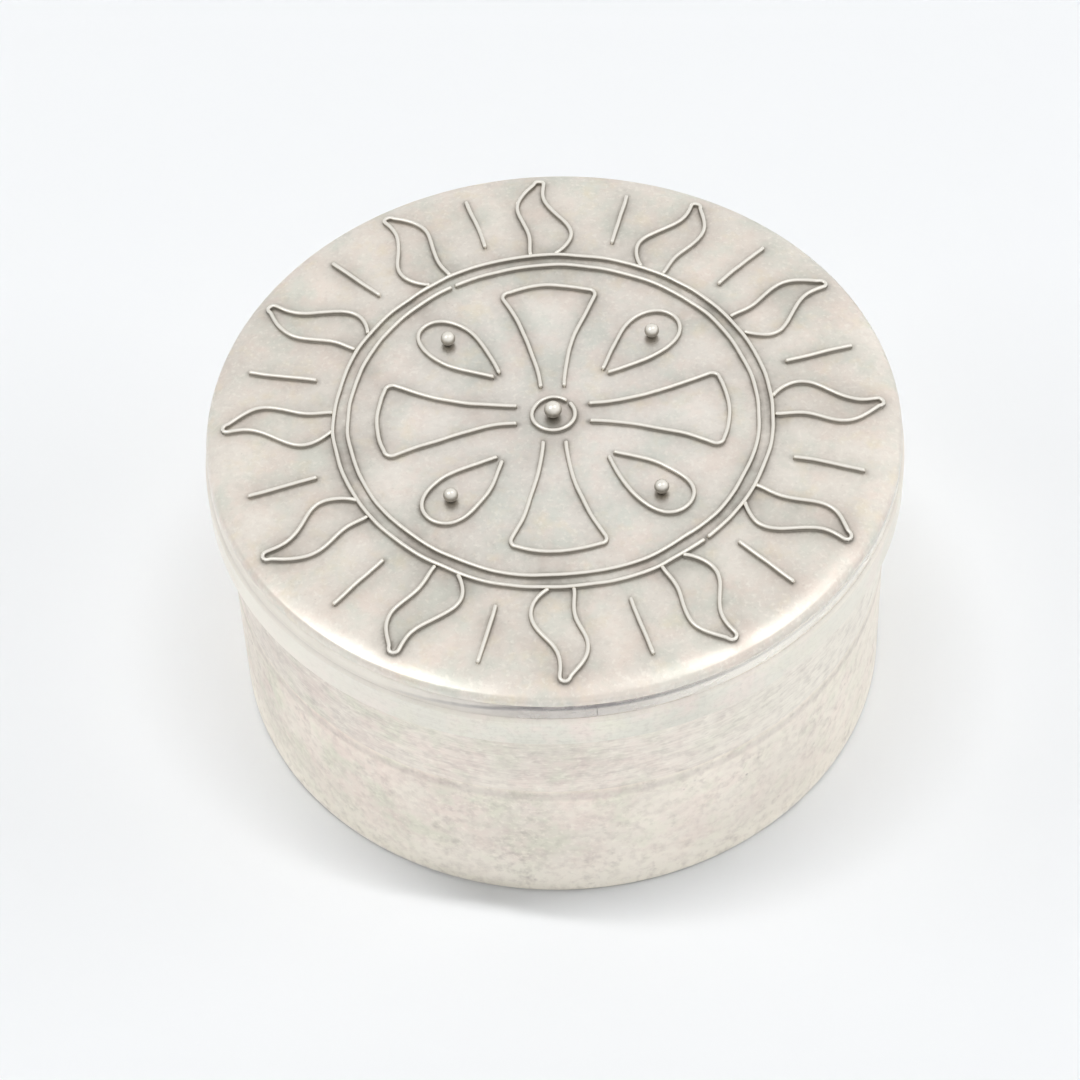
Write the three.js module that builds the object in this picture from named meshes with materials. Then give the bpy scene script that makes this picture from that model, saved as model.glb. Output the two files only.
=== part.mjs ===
// A round silver box for holy oil: a straight-walled body with a gilt liner and a cotton wad inside,
// and a lift-off lid whose top carries a sunburst and a cross in soldered round wire.
// Millimetres, +Z up, front towards -Y. The origin is the middle of the underside.
import * as THREE from "three";

// Body
const wallOuterRadius = 33.75;
const wallThickness = 1.2;
const bodyHeight = 17.4;
const footRounding = 0.4;
const basePlateThickness = 1.2;
const bezelThickness = 0.8;
const bezelStand = 5.0;
const bezelSeat = 7.0;

// Liner and cotton
const linerWall = 0.6;
const linerFloorSpace = 0.8;
const linerCornerRadius = 3.0;
const linerRimThickness = 0.6;
const cottonHeight = 11.0;
const cottonCrown = 3.5;

// Lid
const skirtHeight = 13.7;
const skirtLeadIn = 0.35;
const bandHeight = 3.9;
const bandThickness = 1.5;
const bandRounding = 0.3;
const stripHeight = 1.7;
const stripOverhang = 1.25;
const stripRounding = 0.4;
const stripJointGap = 0.15;
const stripJointAngle = THREE.MathUtils.degToRad(-85);
const plateOverhang = 1.25;
const plateThickness = 1.0;
const plateEdgeRounding = 0.8;
const domeRise = 0.6;
const rollDrop = 0.45;
const rollWidth = 2.4;

// Clearances
const solderGap = 0.06;
const lidFit = 0.12;
const seamGap = 0.1;
const linerFit = 0.35;
const linerSeatGap = 0.05;
const cottonSpace = 0.4;

// Applied wire and grains, laid out from the rim of the plate inwards
const wireDiameter = 0.5;
const wireEndGap = 0.3;
const rimMargin = 1.8;
const flameCount = 12;
const flameLength = 10.6;
const flameRootHalf = 1.15;
const flameSwell = 1.25;
const flameSway = 0.85;
const flameTipRadius = 0.5;
const rayRootGap = 2.2;
const rayTipGap = 1.5;
const circleSpacing = 1.45;
const innerCircleJoint = THREE.MathUtils.degToRad(118);
const outerCircleJoint = THREE.MathUtils.degToRad(-49);
const crossArms = 4;
const crossToCircle = 2.9;
const crossArmStart = 3.6;
const crossNeckHalf = 1.15;
const crossFlareHalf = 4.7;
const crossEndBulge = 0.8;
const crossCornerRadius = 0.7;
const dropToCircle = 2.6;
const dropStart = 7.0;
const dropWidth = 5.2;
const dropPointGap = 0.2;
const dropGrainFromTop = 3.3;
const dropGrainDiameter = 1.5;
const centreRingRadius = 2.2;
const centreGrainDiameter = 1.8;

// Fineness of the faceted surfaces
const turnedSegments = 48;
const wireSides = 6;
const grainSides = 10;
const grainRings = 6;
const wireStep = 2.2;
const bendStep = THREE.MathUtils.degToRad(40);

// The largest share of a wall that a rounding may take
const mostRounding = 0.95;

// Radii and heights that follow from the dimensions
const wireRadius = wireDiameter / 2;
const wallInnerRadius = wallOuterRadius - wallThickness;
const bezelOuterRadius = wallInnerRadius - lidFit;
const bezelInnerRadius = bezelOuterRadius - bezelThickness;
const linerOuterRadius = bezelInnerRadius - linerFit;
const linerInnerRadius = linerOuterRadius - linerWall;
const linerBottom = basePlateThickness + linerFloorSpace;
const linerFloor = linerBottom + linerWall;
const linerRimBottom = bodyHeight + bezelStand + linerSeatGap;
const skirtBottom = bodyHeight + seamGap;
const skirtTop = skirtBottom + skirtHeight;
const stripBottom = skirtTop + solderGap;
const stripTop = stripBottom + stripHeight;
const plateBottom = stripTop + solderGap;
const plateRimTop = plateBottom + plateThickness;
const bandInnerRadius = wallOuterRadius + solderGap;
const bandOuterRadius = bandInnerRadius + bandThickness;
const stripOuterRadius = wallOuterRadius + stripOverhang;
const plateRadius = wallOuterRadius + plateOverhang;
const footArc = Math.min(footRounding, wallThickness * mostRounding);
const skirtLead = Math.min(skirtLeadIn, wallThickness * mostRounding);
const bandArc = Math.min(bandRounding, bandThickness * mostRounding, (bandHeight / 2) * mostRounding);
const stripArc = Math.min(stripRounding, (stripHeight / 2) * mostRounding);
const plateEdgeArc = Math.min(plateEdgeRounding, plateThickness * mostRounding);
const rollSlope = Math.atan((2 * domeRise) / plateRadius + (2 * rollDrop) / rollWidth);
const rollEnd = plateRadius - plateEdgeArc * (1 - Math.sin(rollSlope));
const rollStart = rollEnd - rollWidth;
const flameStart = plateRadius - rimMargin - flameLength;
const outerCircleRadius = flameStart - wireRadius - wireEndGap;
const innerCircleRadius = outerCircleRadius - circleSpacing;
const crossArmEnd = innerCircleRadius - crossToCircle - crossEndBulge;
const dropEnd = innerCircleRadius - dropToCircle;

const silver = { color: 0xdad5c9, roughness: 0.38, metalness: 1 };
const pittedSilver = { color: 0xddd5c8, roughness: 0.5, metalness: 1 };
const brightSilver = { color: 0xe6e3db, roughness: 0.25, metalness: 1 };
const gilt = { color: 0xd9b260, roughness: 0.3, metalness: 1 };
const cotton = { color: 0xf2efe6, roughness: 1, metalness: 0 };

const box = new THREE.Group();

function addPiece(name, geometry, finish, parent) {
  const piece = new THREE.Mesh(geometry, new THREE.MeshStandardMaterial(finish));
  piece.name = name;
  parent.add(piece);
  return piece;
}

// A turned piece from its half section, listed as [radius, height] with the metal on the left.
function turned(section) {
  const points = section.map(([radius, height]) => new THREE.Vector2(Math.max(radius, 0), height));
  return new THREE.LatheGeometry(points, turnedSegments).rotateX(Math.PI / 2);
}

// Points of an arc in the half section, from one angle to the other.
function sectionArc(radius, height, arcRadius, fromAngle, toAngle, steps) {
  return Array.from({ length: steps + 1 }, (_, i) => {
    const angle = fromAngle + ((toAngle - fromAngle) * i) / steps;
    return [radius + arcRadius * Math.cos(angle), height + arcRadius * Math.sin(angle)];
  });
}

// Body: the wall, the base plate soldered in its foot and the bezel that holds the lid.
function addBody(parent) {
  const wall = [
    [wallInnerRadius, 0],
    ...sectionArc(wallOuterRadius - footArc, footArc, footArc, -Math.PI / 2, 0, 3),
    [wallOuterRadius, bodyHeight],
    [wallInnerRadius, bodyHeight],
    [wallInnerRadius, 0],
  ];
  addPiece("body_wall", turned(wall), pittedSilver, parent);

  const basePlateRadius = wallInnerRadius - solderGap;
  const basePlate = [
    [0, 0],
    [basePlateRadius, 0],
    [basePlateRadius, basePlateThickness],
    [0, basePlateThickness],
  ];
  addPiece("base_plate", turned(basePlate), silver, parent);

  const bezelTop = bodyHeight + bezelStand;
  const bezelLead = bezelThickness / 2;
  const bezel = [
    [bezelInnerRadius, bodyHeight - bezelSeat],
    [bezelOuterRadius, bodyHeight - bezelSeat],
    [bezelOuterRadius, bezelTop - bezelLead],
    [bezelOuterRadius - bezelLead, bezelTop],
    [bezelInnerRadius, bezelTop],
    [bezelInnerRadius, bodyHeight - bezelSeat],
  ];
  addPiece("inner_bezel", turned(bezel), silver, parent);
}

// Liner: a gilt cup whose turned-out rim rests on the bezel, with the cotton wad in it.
function addLiner(parent) {
  const rimOuterRadius = bezelOuterRadius;
  const rimTop = linerRimBottom + linerRimThickness;
  const outerCorner = linerCornerRadius;
  const innerCorner = linerCornerRadius - linerWall;
  const liner = [
    [0, linerBottom],
    ...sectionArc(linerOuterRadius - outerCorner, linerBottom + outerCorner, outerCorner, -Math.PI / 2, 0, 3),
    [linerOuterRadius, linerRimBottom],
    [rimOuterRadius, linerRimBottom],
    [rimOuterRadius, rimTop],
    [linerInnerRadius, rimTop],
    ...sectionArc(linerInnerRadius - innerCorner, linerFloor + innerCorner, innerCorner, 0, -Math.PI / 2, 3),
    [0, linerFloor],
  ];
  addPiece("liner", turned(liner), gilt, parent);

  const cottonRadius = linerInnerRadius - cottonSpace;
  const cottonBottom = linerFloor + cottonSpace;
  const cottonEdgeTop = cottonBottom + cottonHeight - cottonCrown;
  const cottonCorner = linerCornerRadius;
  const wad = [
    [0, cottonBottom],
    ...sectionArc(cottonRadius - cottonCorner, cottonBottom + cottonCorner, cottonCorner, -Math.PI / 2, 0, 3),
    ...sectionArc(cottonRadius - cottonCorner, cottonEdgeTop - cottonCorner, cottonCorner, 0, Math.PI / 3, 2),
  ];
  const [shoulderRadius, shoulderHeight] = wad[wad.length - 1];
  const crownSteps = 4;
  for (let i = 1; i <= crownSteps; i++) {
    const share = i / crownSteps;
    const radius = shoulderRadius * (1 - share);
    const rise = (cottonBottom + cottonHeight - shoulderHeight) * Math.sin((share * Math.PI) / 2);
    wad.push([radius, shoulderHeight + rise]);
  }
  addPiece("cotton_wad", turned(wad), cotton, parent);
}

// Height of the lid plate's top: a low dome that rolls down over its outer width.
function plateTop(radius) {
  const roll = Math.max(0, (radius - rollStart) / rollWidth);
  const dome = (rollEnd ** 2 - radius ** 2) / plateRadius ** 2;
  return plateRimTop + domeRise * dome + rollDrop * (1 - roll ** 2);
}

function plateSlope(radius) {
  const roll = Math.max(0, (radius - rollStart) / rollWidth);
  return (-2 * domeRise * radius) / plateRadius ** 2 - (2 * rollDrop * roll) / rollWidth;
}

// Lid: the skirt that slides over the bezel, the band around it, the strip, and the plate on top.
function addLid(parent) {
  const skirt = [
    [wallInnerRadius + skirtLead, skirtBottom],
    [wallOuterRadius, skirtBottom],
    [wallOuterRadius, skirtTop],
    [wallInnerRadius, skirtTop],
    [wallInnerRadius, skirtBottom + skirtLead],
    [wallInnerRadius + skirtLead, skirtBottom],
  ];
  addPiece("lid_skirt", turned(skirt), silver, parent);

  const bandBottom = skirtTop - bandHeight;
  const band = [
    [bandInnerRadius, bandBottom],
    ...sectionArc(bandOuterRadius - bandArc, bandBottom + bandArc, bandArc, -Math.PI / 2, 0, 2),
    ...sectionArc(bandOuterRadius - bandArc, skirtTop - bandArc, bandArc, 0, Math.PI / 2, 2),
    [bandInnerRadius, skirtTop],
    [bandInnerRadius, bandBottom],
  ];
  addPiece("lid_band", turned(band), silver, parent);

  addPiece("edge_strip", edgeStrip(), brightSilver, parent);

  const undersideSteps = 5;
  const topSteps = 6;
  const underside = [];
  for (let i = 0; i <= undersideSteps; i++) {
    const radius = (wallInnerRadius * i) / undersideSteps;
    underside.push([radius, plateTop(radius) - plateThickness]);
  }
  const edgeMiddle = plateRadius - plateEdgeArc;
  const edgeLevel = plateRimTop - plateEdgeArc * Math.cos(rollSlope);
  const top = [];
  for (let i = 1; i <= topSteps; i++) {
    const radius = rollEnd - (rollWidth * i) / topSteps;
    top.push([radius, plateTop(radius)]);
  }
  const innerTopRadii = [(rollStart * 2) / 3, rollStart / 3, 0];
  const plate = [
    ...underside,
    [wallInnerRadius, plateBottom],
    [plateRadius, plateBottom],
    ...sectionArc(edgeMiddle, edgeLevel, plateEdgeArc, 0, Math.PI / 2 - rollSlope, 3),
    ...top,
    ...innerTopRadii.map((radius) => [radius, plateTop(radius)]),
  ];
  addPiece("lid_plate", turned(plate), silver, parent);
}

// Along a flat path that runs counter-clockwise, an extruded section's x points down and its y inwards.
function ringSection(section, middleRadius, middleHeight) {
  return new THREE.Shape(
    section.map(([radius, height]) => new THREE.Vector2(middleHeight - height, middleRadius - radius)),
  );
}

// The strip is one bar of metal bent round, with a small gap where its ends meet.
function edgeStrip() {
  const section = [
    [wallInnerRadius, stripBottom],
    ...sectionArc(stripOuterRadius - stripArc, stripBottom + stripArc, stripArc, -Math.PI / 2, 0, 2),
    ...sectionArc(stripOuterRadius - stripArc, stripTop - stripArc, stripArc, 0, Math.PI / 2, 2),
    [wallInnerRadius, stripTop],
  ];
  const middleRadius = (wallInnerRadius + stripOuterRadius) / 2;
  const middleHeight = (stripBottom + stripTop) / 2;
  const halfGap = stripJointGap / 2 / middleRadius;
  const stations = [];
  for (let i = 0; i <= turnedSegments; i++) {
    const angle = stripJointAngle + halfGap + ((2 * Math.PI - 2 * halfGap) * i) / turnedSegments;
    stations.push(
      new THREE.Vector3(middleRadius * Math.cos(angle), middleRadius * Math.sin(angle), middleHeight),
    );
  }
  return new THREE.ExtrudeGeometry(ringSection(section, middleRadius, middleHeight), {
    steps: turnedSegments,
    extrudePath: new BentPath(stations),
  });
}

// A path whose stations are its own points, so that bends keep their points and straights need few.
class BentPath extends THREE.Curve {
  constructor(stations) {
    super();
    this.stations = stations;
  }
  getPoint(share, target = new THREE.Vector3()) {
    const place = share * (this.stations.length - 1);
    const index = Math.min(Math.floor(place), this.stations.length - 2);
    return target.lerpVectors(this.stations[index], this.stations[index + 1], place - index);
  }
  getPointAt(share, target) {
    return this.getPoint(share, target);
  }
  getTangent(share, target = new THREE.Vector3()) {
    const last = this.stations.length - 1;
    const index = Math.round(share * last);
    const before = this.direction(Math.max(index - 1, 0));
    const after = this.direction(Math.min(index, last - 1));
    return target.addVectors(before, after).normalize();
  }
  getTangentAt(share, target) {
    return this.getTangent(share, target);
  }
  direction(index) {
    return new THREE.Vector3().subVectors(this.stations[index + 1], this.stations[index]).normalize();
  }
}

// A point over the plate, lifted square to its surface.
function overPlate(x, y, lift) {
  const radius = Math.hypot(x, y);
  const slope = plateSlope(radius);
  const length = Math.hypot(1, slope);
  const outward = (-slope / length) * lift;
  const scale = radius > 0 ? (radius + outward) / radius : 1;
  return new THREE.Vector3(x * scale, y * scale, plateTop(radius) + lift / length);
}

// A round wire bent along an outline that is drawn on the plate as [x, y] points.
function appliedWire(outline) {
  const stations = outline.map(([x, y]) => overPlate(x, y, wireRadius + solderGap));
  const section = Array.from({ length: wireSides }, (_, i) => {
    const angle = (2 * Math.PI * (i + 0.5)) / wireSides;
    return new THREE.Vector2(wireRadius * Math.cos(angle), wireRadius * Math.sin(angle));
  });
  return new THREE.ExtrudeGeometry(new THREE.Shape(section), {
    steps: stations.length - 1,
    extrudePath: new BentPath(stations),
  });
}

function appliedGrain(x, y, diameter) {
  const middle = overPlate(x, y, diameter / 2 + solderGap);
  const grain = new THREE.SphereGeometry(diameter / 2, grainSides, grainRings);
  return grain.translate(middle.x, middle.y, middle.z);
}

// Outlines are drawn with u away from the lid's middle and v to the left of that, then turned to an angle.
function placed(outline, angle, side = 1) {
  return outline.map(([u, v]) => [
    u * Math.cos(angle) - side * v * Math.sin(angle),
    u * Math.sin(angle) + side * v * Math.cos(angle),
  ]);
}

function arcPoints(centreU, centreV, radius, fromAngle, toAngle, steps) {
  return Array.from({ length: steps + 1 }, (_, i) => {
    const angle = fromAngle + ((toAngle - fromAngle) * i) / steps;
    return [centreU + radius * Math.cos(angle), centreV + radius * Math.sin(angle)];
  });
}

// A circle of wire, open by the small gap where its ends meet.
function wireCircle(radius, jointAngle) {
  const halfGap = wireEndGap / 2 / radius;
  const fewestSteps = 10;
  const steps = Math.max(fewestSteps, Math.round((2 * Math.PI * radius) / wireStep));
  return arcPoints(0, 0, radius, jointAngle + halfGap, jointAngle + 2 * Math.PI - halfGap, steps);
}

// One flared arm of the cross: out along one side, over the bowed end, and back along the other.
// Each corner bend starts in the direction in which the side arrives.
function crossArm() {
  const sideSteps = 5;
  const endSteps = 4;
  const hollow = 1.7;
  const cornerU = crossArmEnd - crossCornerRadius;
  const cornerV = crossFlareHalf - crossCornerRadius;
  const lean = Math.atan((hollow * (cornerV - crossNeckHalf)) / (cornerU - crossArmStart));
  const sideEndU = cornerU - crossCornerRadius * Math.sin(lean);
  const sideEndV = cornerV + crossCornerRadius * Math.cos(lean);
  const side = [];
  for (let i = 0; i < sideSteps; i++) {
    const share = i / sideSteps;
    const v = crossNeckHalf + (sideEndV - crossNeckHalf) * share ** hollow;
    side.push([crossArmStart + (sideEndU - crossArmStart) * share, v]);
  }
  const cornerTurn = Math.PI / 2 + lean;
  const cornerSteps = Math.ceil(cornerTurn / bendStep);
  const corner = arcPoints(cornerU, cornerV, crossCornerRadius, cornerTurn, 0, cornerSteps);
  const end = [];
  for (let i = 1; i < endSteps; i++) {
    const v = cornerV * (1 - (2 * i) / endSteps);
    end.push([crossArmEnd + crossEndBulge * (1 - (v / cornerV) ** 2), v]);
  }
  const half = [...side, ...corner];
  return [...half, ...end, ...half.map(([u, v]) => [u, -v]).reverse()];
}

// A drop, with its open point towards the middle of the lid.
function drop() {
  const steps = 16;
  const fullness = 1.3;
  const widest = 0.727;
  const breadth = dropWidth / 2 / widest;
  const pointHalf = wireRadius + dropPointGap / 2;
  const opening = ((pointHalf * 2 ** fullness) / breadth) ** (1 / (1 + fullness));
  return Array.from({ length: steps + 1 }, (_, i) => {
    const turn = opening + ((2 * Math.PI - 2 * opening) * i) / steps;
    const u = dropStart + ((dropEnd - dropStart) * (1 - Math.cos(turn))) / 2;
    return [u, breadth * Math.sin(turn) * Math.sin(turn / 2) ** fullness];
  });
}

// A flame: two waved sides that grow from the circle and meet in a bend at the tip.
function flame() {
  const sideSteps = 7;
  const lowBelly = 0.75;
  const sideLength = flameLength - flameTipRadius;
  const side = (way) =>
    Array.from({ length: sideSteps }, (_, i) => {
      const share = i / sideSteps;
      const half = THREE.MathUtils.lerp(flameRootHalf, flameTipRadius, share);
      const swell = flameSwell * Math.sin(Math.PI * share ** lowBelly);
      const sway = flameSway * Math.sin(2 * Math.PI * share);
      return [flameStart + sideLength * share, way * (half + swell) + sway];
    });
  const tipSteps = Math.ceil(Math.PI / bendStep);
  const tip = arcPoints(flameStart + sideLength, 0, flameTipRadius, Math.PI / 2, -Math.PI / 2, tipSteps);
  return [...side(1), ...tip, ...side(-1).reverse()];
}

// A straight ray between two flames.
function ray() {
  const start = outerCircleRadius + wireRadius + rayRootGap;
  const end = flameStart + flameLength - rayTipGap;
  const steps = Math.max(2, Math.ceil((end - start) / wireStep));
  return Array.from({ length: steps + 1 }, (_, i) => [start + ((end - start) * i) / steps, 0]);
}

function addAppliedWork(parent) {
  const quarter = (2 * Math.PI) / crossArms;
  for (let i = 0; i < crossArms; i++) {
    const number = i + 1;
    const arm = placed(crossArm(), i * quarter);
    addPiece("cross_wire_" + number, appliedWire(arm), brightSilver, parent);
    const diagonal = (i + 0.5) * quarter;
    addPiece("drop_wire_" + number, appliedWire(placed(drop(), diagonal)), brightSilver, parent);
    const [[x, y]] = placed([[dropEnd - dropGrainFromTop, 0]], diagonal);
    addPiece("drop_grain_" + number, appliedGrain(x, y, dropGrainDiameter), brightSilver, parent);
  }
  const centreRing = wireCircle(centreRingRadius, quarter / 2);
  addPiece("centre_ring", appliedWire(centreRing), brightSilver, parent);
  addPiece("centre_grain", appliedGrain(0, 0, centreGrainDiameter), brightSilver, parent);
  const innerCircle = wireCircle(innerCircleRadius, innerCircleJoint);
  addPiece("inner_circle_wire", appliedWire(innerCircle), brightSilver, parent);
  const outerCircle = wireCircle(outerCircleRadius, outerCircleJoint);
  addPiece("outer_circle_wire", appliedWire(outerCircle), brightSilver, parent);
  const pitch = (2 * Math.PI) / flameCount;
  for (let i = 0; i < flameCount; i++) {
    const number = String(i + 1).padStart(2, "0");
    const side = i % 2 === 0 ? 1 : -1;
    addPiece("flame_wire_" + number, appliedWire(placed(flame(), i * pitch, side)), brightSilver, parent);
    addPiece("ray_wire_" + number, appliedWire(placed(ray(), (i + 0.5) * pitch)), brightSilver, parent);
  }
}

addBody(box);
addLiner(box);
addLid(box);
addAppliedWork(box);

export default box;
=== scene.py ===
"""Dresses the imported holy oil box: a round silver box with a lift-off lid, a liner and cotton.

The lid carries a sunburst and a cross in soldered round wire. Metres, +Z up, front towards -Y.
"""

import math

import bmesh
import bpy
import numpy as np
from bpy.props import FloatProperty, FloatVectorProperty, IntProperty, PointerProperty
from mathutils import Matrix, Vector
from mathutils import noise as field
from mathutils.kdtree import KDTree


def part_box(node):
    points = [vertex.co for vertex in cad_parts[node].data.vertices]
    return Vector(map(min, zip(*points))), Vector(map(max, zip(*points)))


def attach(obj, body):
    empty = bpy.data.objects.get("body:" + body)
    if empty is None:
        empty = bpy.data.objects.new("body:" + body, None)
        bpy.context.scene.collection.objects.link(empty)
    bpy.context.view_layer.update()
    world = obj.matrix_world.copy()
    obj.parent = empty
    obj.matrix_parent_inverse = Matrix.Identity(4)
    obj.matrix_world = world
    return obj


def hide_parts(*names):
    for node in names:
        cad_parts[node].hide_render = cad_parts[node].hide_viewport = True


bl_info = {
    "name": "Holy Oil Box",
    "version": (1, 0, 0),
    "blender": (4, 5, 0),
    "location": "View3D > Sidebar > Oil Box",
    "description": "Builds the visible pieces of a round silver box for holy oil",
    "category": "Add Mesh",
}

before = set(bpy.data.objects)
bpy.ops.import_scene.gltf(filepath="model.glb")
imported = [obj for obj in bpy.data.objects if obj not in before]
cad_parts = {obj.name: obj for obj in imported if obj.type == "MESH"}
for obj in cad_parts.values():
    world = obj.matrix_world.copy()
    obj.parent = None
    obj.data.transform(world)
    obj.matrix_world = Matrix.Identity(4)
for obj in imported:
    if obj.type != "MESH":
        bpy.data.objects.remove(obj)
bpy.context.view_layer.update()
MM = 0.001
STATION_STEP = 0.26 * MM
WHITE = (1.0, 1.0, 1.0)


def turned_reach(node):
    """Outer radius of a turned CAD node."""
    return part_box(node)[1].x


def srgb(red, green, blue):
    """A colour as it shows on screen, from 0 to 255, as the linear numbers that Blender takes."""
    shares = (channel / 255 for channel in (red, green, blue))
    return tuple(s / 12.92 if s <= 0.04045 else ((s + 0.055) / 1.055) ** 2.4 for s in shares)


# Properties: the sizes and colours that a user would change


def length(name, description, default):
    """A length in metres."""
    return FloatProperty(
        name=name, description=description, default=default, min=0, unit="LENGTH", precision=5
    )


def angle(name, description, degrees):
    """An angle, given in degrees."""
    return FloatProperty(
        name=name, description=description, default=math.radians(degrees), unit="ROTATION"
    )


def number(name, description, default):
    """A number without a unit."""
    return FloatProperty(name=name, description=description, default=default)


def colour(name, description, default):
    """A colour in linear numbers."""
    return FloatVectorProperty(
        name=name, description=description, default=default, subtype="COLOR", size=3, min=0, max=1
    )


class TurnedSizes(bpy.types.PropertyGroup):
    """Sizes of the turned pieces of body, liner and lid."""

    wall: length("Wall", "Thickness of the body wall and the lid's skirt", 1.2 * MM)
    foot_rounding: length("Foot rounding", "Radius round the foot of the wall", 0.4 * MM)
    seam_rounding: length("Seam rounding", "Radius of the wall's upper edge at the seam", 0.22 * MM)
    seam_gap: length("Seam gap", "Gap between wall and skirt at the seam", 0.02 * MM)
    skirt_lip: length("Skirt lip", "Radius of the skirt's lower edges", 0.06 * MM)
    band_rounding: length("Band rounding", "Radius of the band's lower edge", 0.35 * MM)
    band_slope: length("Band slope", "Height of the slope that dresses the band's top", 0.5 * MM)
    strip_rounding: length("Strip rounding", "Radius of the edge strip's upper edge", 0.4 * MM)
    strip_tuck: length("Strip tuck", "Depth of the strip's lower edge in the band", 0.12 * MM)
    strip_unevenness: length("Strip unevenness", "How far the edge strip waves", 0.03 * MM)
    strip_joint: length("Strip joint", "Gap between the strip's two ends", 0.03 * MM)
    strip_joint_angle: angle("Strip joint angle", "Where the strip's ends meet", -85)
    plate: length("Lid plate", "Thickness of the lid plate", 1.0 * MM)
    plate_edge: length("Plate edge", "Radius round the edge of the lid plate", 0.8 * MM)
    plate_lip: length("Plate lip", "Radius under the edge of the lid plate", 0.12 * MM)
    dome_rise: length("Dome rise", "Height of the low dome of the lid plate", 0.6 * MM)
    roll_drop: length("Roll drop", "Fall of the plate's rolled rim", 0.45 * MM)
    roll_width: length("Roll width", "Width of the plate's rolled rim", 2.4 * MM)
    bezel: length("Bezel", "Thickness of the bezel that holds the lid", 0.8 * MM)
    liner: length("Liner", "Thickness of the gilt liner", 0.6 * MM)
    liner_corner: length("Liner corner", "Radius round the liner's floor", 3.0 * MM)
    liner_rim: length("Liner rim", "Thickness of the liner's turned-out rim", 0.6 * MM)
    unevenness: length("Unevenness", "How far the turned surfaces wave from handwork", 0.02 * MM)
    wave_length: length("Wave length", "Distance over which a turned surface waves", 9.0 * MM)


class WireSizes(bpy.types.PropertyGroup):
    """Sizes of the applied wires and grains, laid out from the plate's rim inwards."""

    gauge: length("Gauge", "Width of the wire and its solder", 0.5 * MM)
    round_share: number("Round share", "How much of the gauge is the round wire", 0.86)
    solder: length("Solder", "Thickness of the solder under the wire", 0.03 * MM)
    sunk: length("Sunk", "Depth of the wire's foot in its solder", 0.04 * MM)
    end_gap: length("End gap", "Gap at the joint of a wire circle", 0.3 * MM)
    waver: length("Waver", "How far the hand-bent wires stray from their outlines", 0.16 * MM)
    waver_length: length("Waver length", "Distance over which a wire strays and returns", 6.0 * MM)
    rim_margin: length("Rim margin", "Distance of the flame tips from the plate's rim", 1.8 * MM)
    flames: IntProperty(
        name="Flames", description="Number of flames and of rays", default=12, min=3
    )
    flame_length: length("Flame length", "Length of a flame from the circle to its tip", 10.6 * MM)
    flame_root: length("Flame root", "Half of a flame's width at its root", 1.15 * MM)
    flame_swell: length("Flame swell", "Added half width at the flame's belly", 1.25 * MM)
    flame_sway: length("Flame sway", "Sideways wave of a flame", 0.85 * MM)
    flame_tip: length("Flame tip", "Bend radius at a flame's tip", 0.5 * MM)
    ray_root_gap: length("Ray root gap", "Gap between the outer circle and a ray", 2.2 * MM)
    ray_tip_gap: length("Ray tip gap", "Distance from a ray's end to the flame tips", 1.5 * MM)
    circle_spacing: length("Circle spacing", "Distance between the two wire circles", 1.45 * MM)
    outer_joint: angle("Outer joint", "Where the ends of the outer circle meet", -49)
    inner_joint: angle("Inner joint", "Where the ends of the inner circle meet", 118)
    centre_joint: angle("Centre joint", "Where the ends of the ring in the middle meet", 45)
    cross_to_circle: length("Cross to circle", "Gap between cross and inner circle", 2.9 * MM)
    cross_arm_start: length("Arm start", "Distance of the arms' necks from the middle", 3.6 * MM)
    cross_neck: length("Arm neck", "Half width of an arm at its neck", 1.15 * MM)
    cross_flare: length("Arm flare", "Half width of an arm at its end", 4.7 * MM)
    cross_bulge: length("Arm bulge", "Bow of an arm's end", 0.8 * MM)
    cross_corner: length("Arm corner", "Bend radius at an arm's corners", 0.7 * MM)
    drop_to_circle: length("Drop to circle", "Gap between drops and inner circle", 2.6 * MM)
    drop_start: length("Drop start", "Distance of the drops' points from the middle", 7.0 * MM)
    drop_width: length("Drop width", "Width of a drop", 5.2 * MM)
    drop_point_gap: length("Drop point gap", "Gap between the ends at a drop's point", 0.2 * MM)
    drop_grain: length("Drop grain", "Diameter of the grain in a drop", 1.5 * MM)
    grain_from_top: length("Grain from top", "From a drop's round end to its grain", 3.3 * MM)
    centre_ring: length("Centre ring", "Radius of the ring in the middle", 2.2 * MM)
    centre_grain: length("Centre grain", "Diameter of the grain in the middle", 1.8 * MM)


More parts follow.
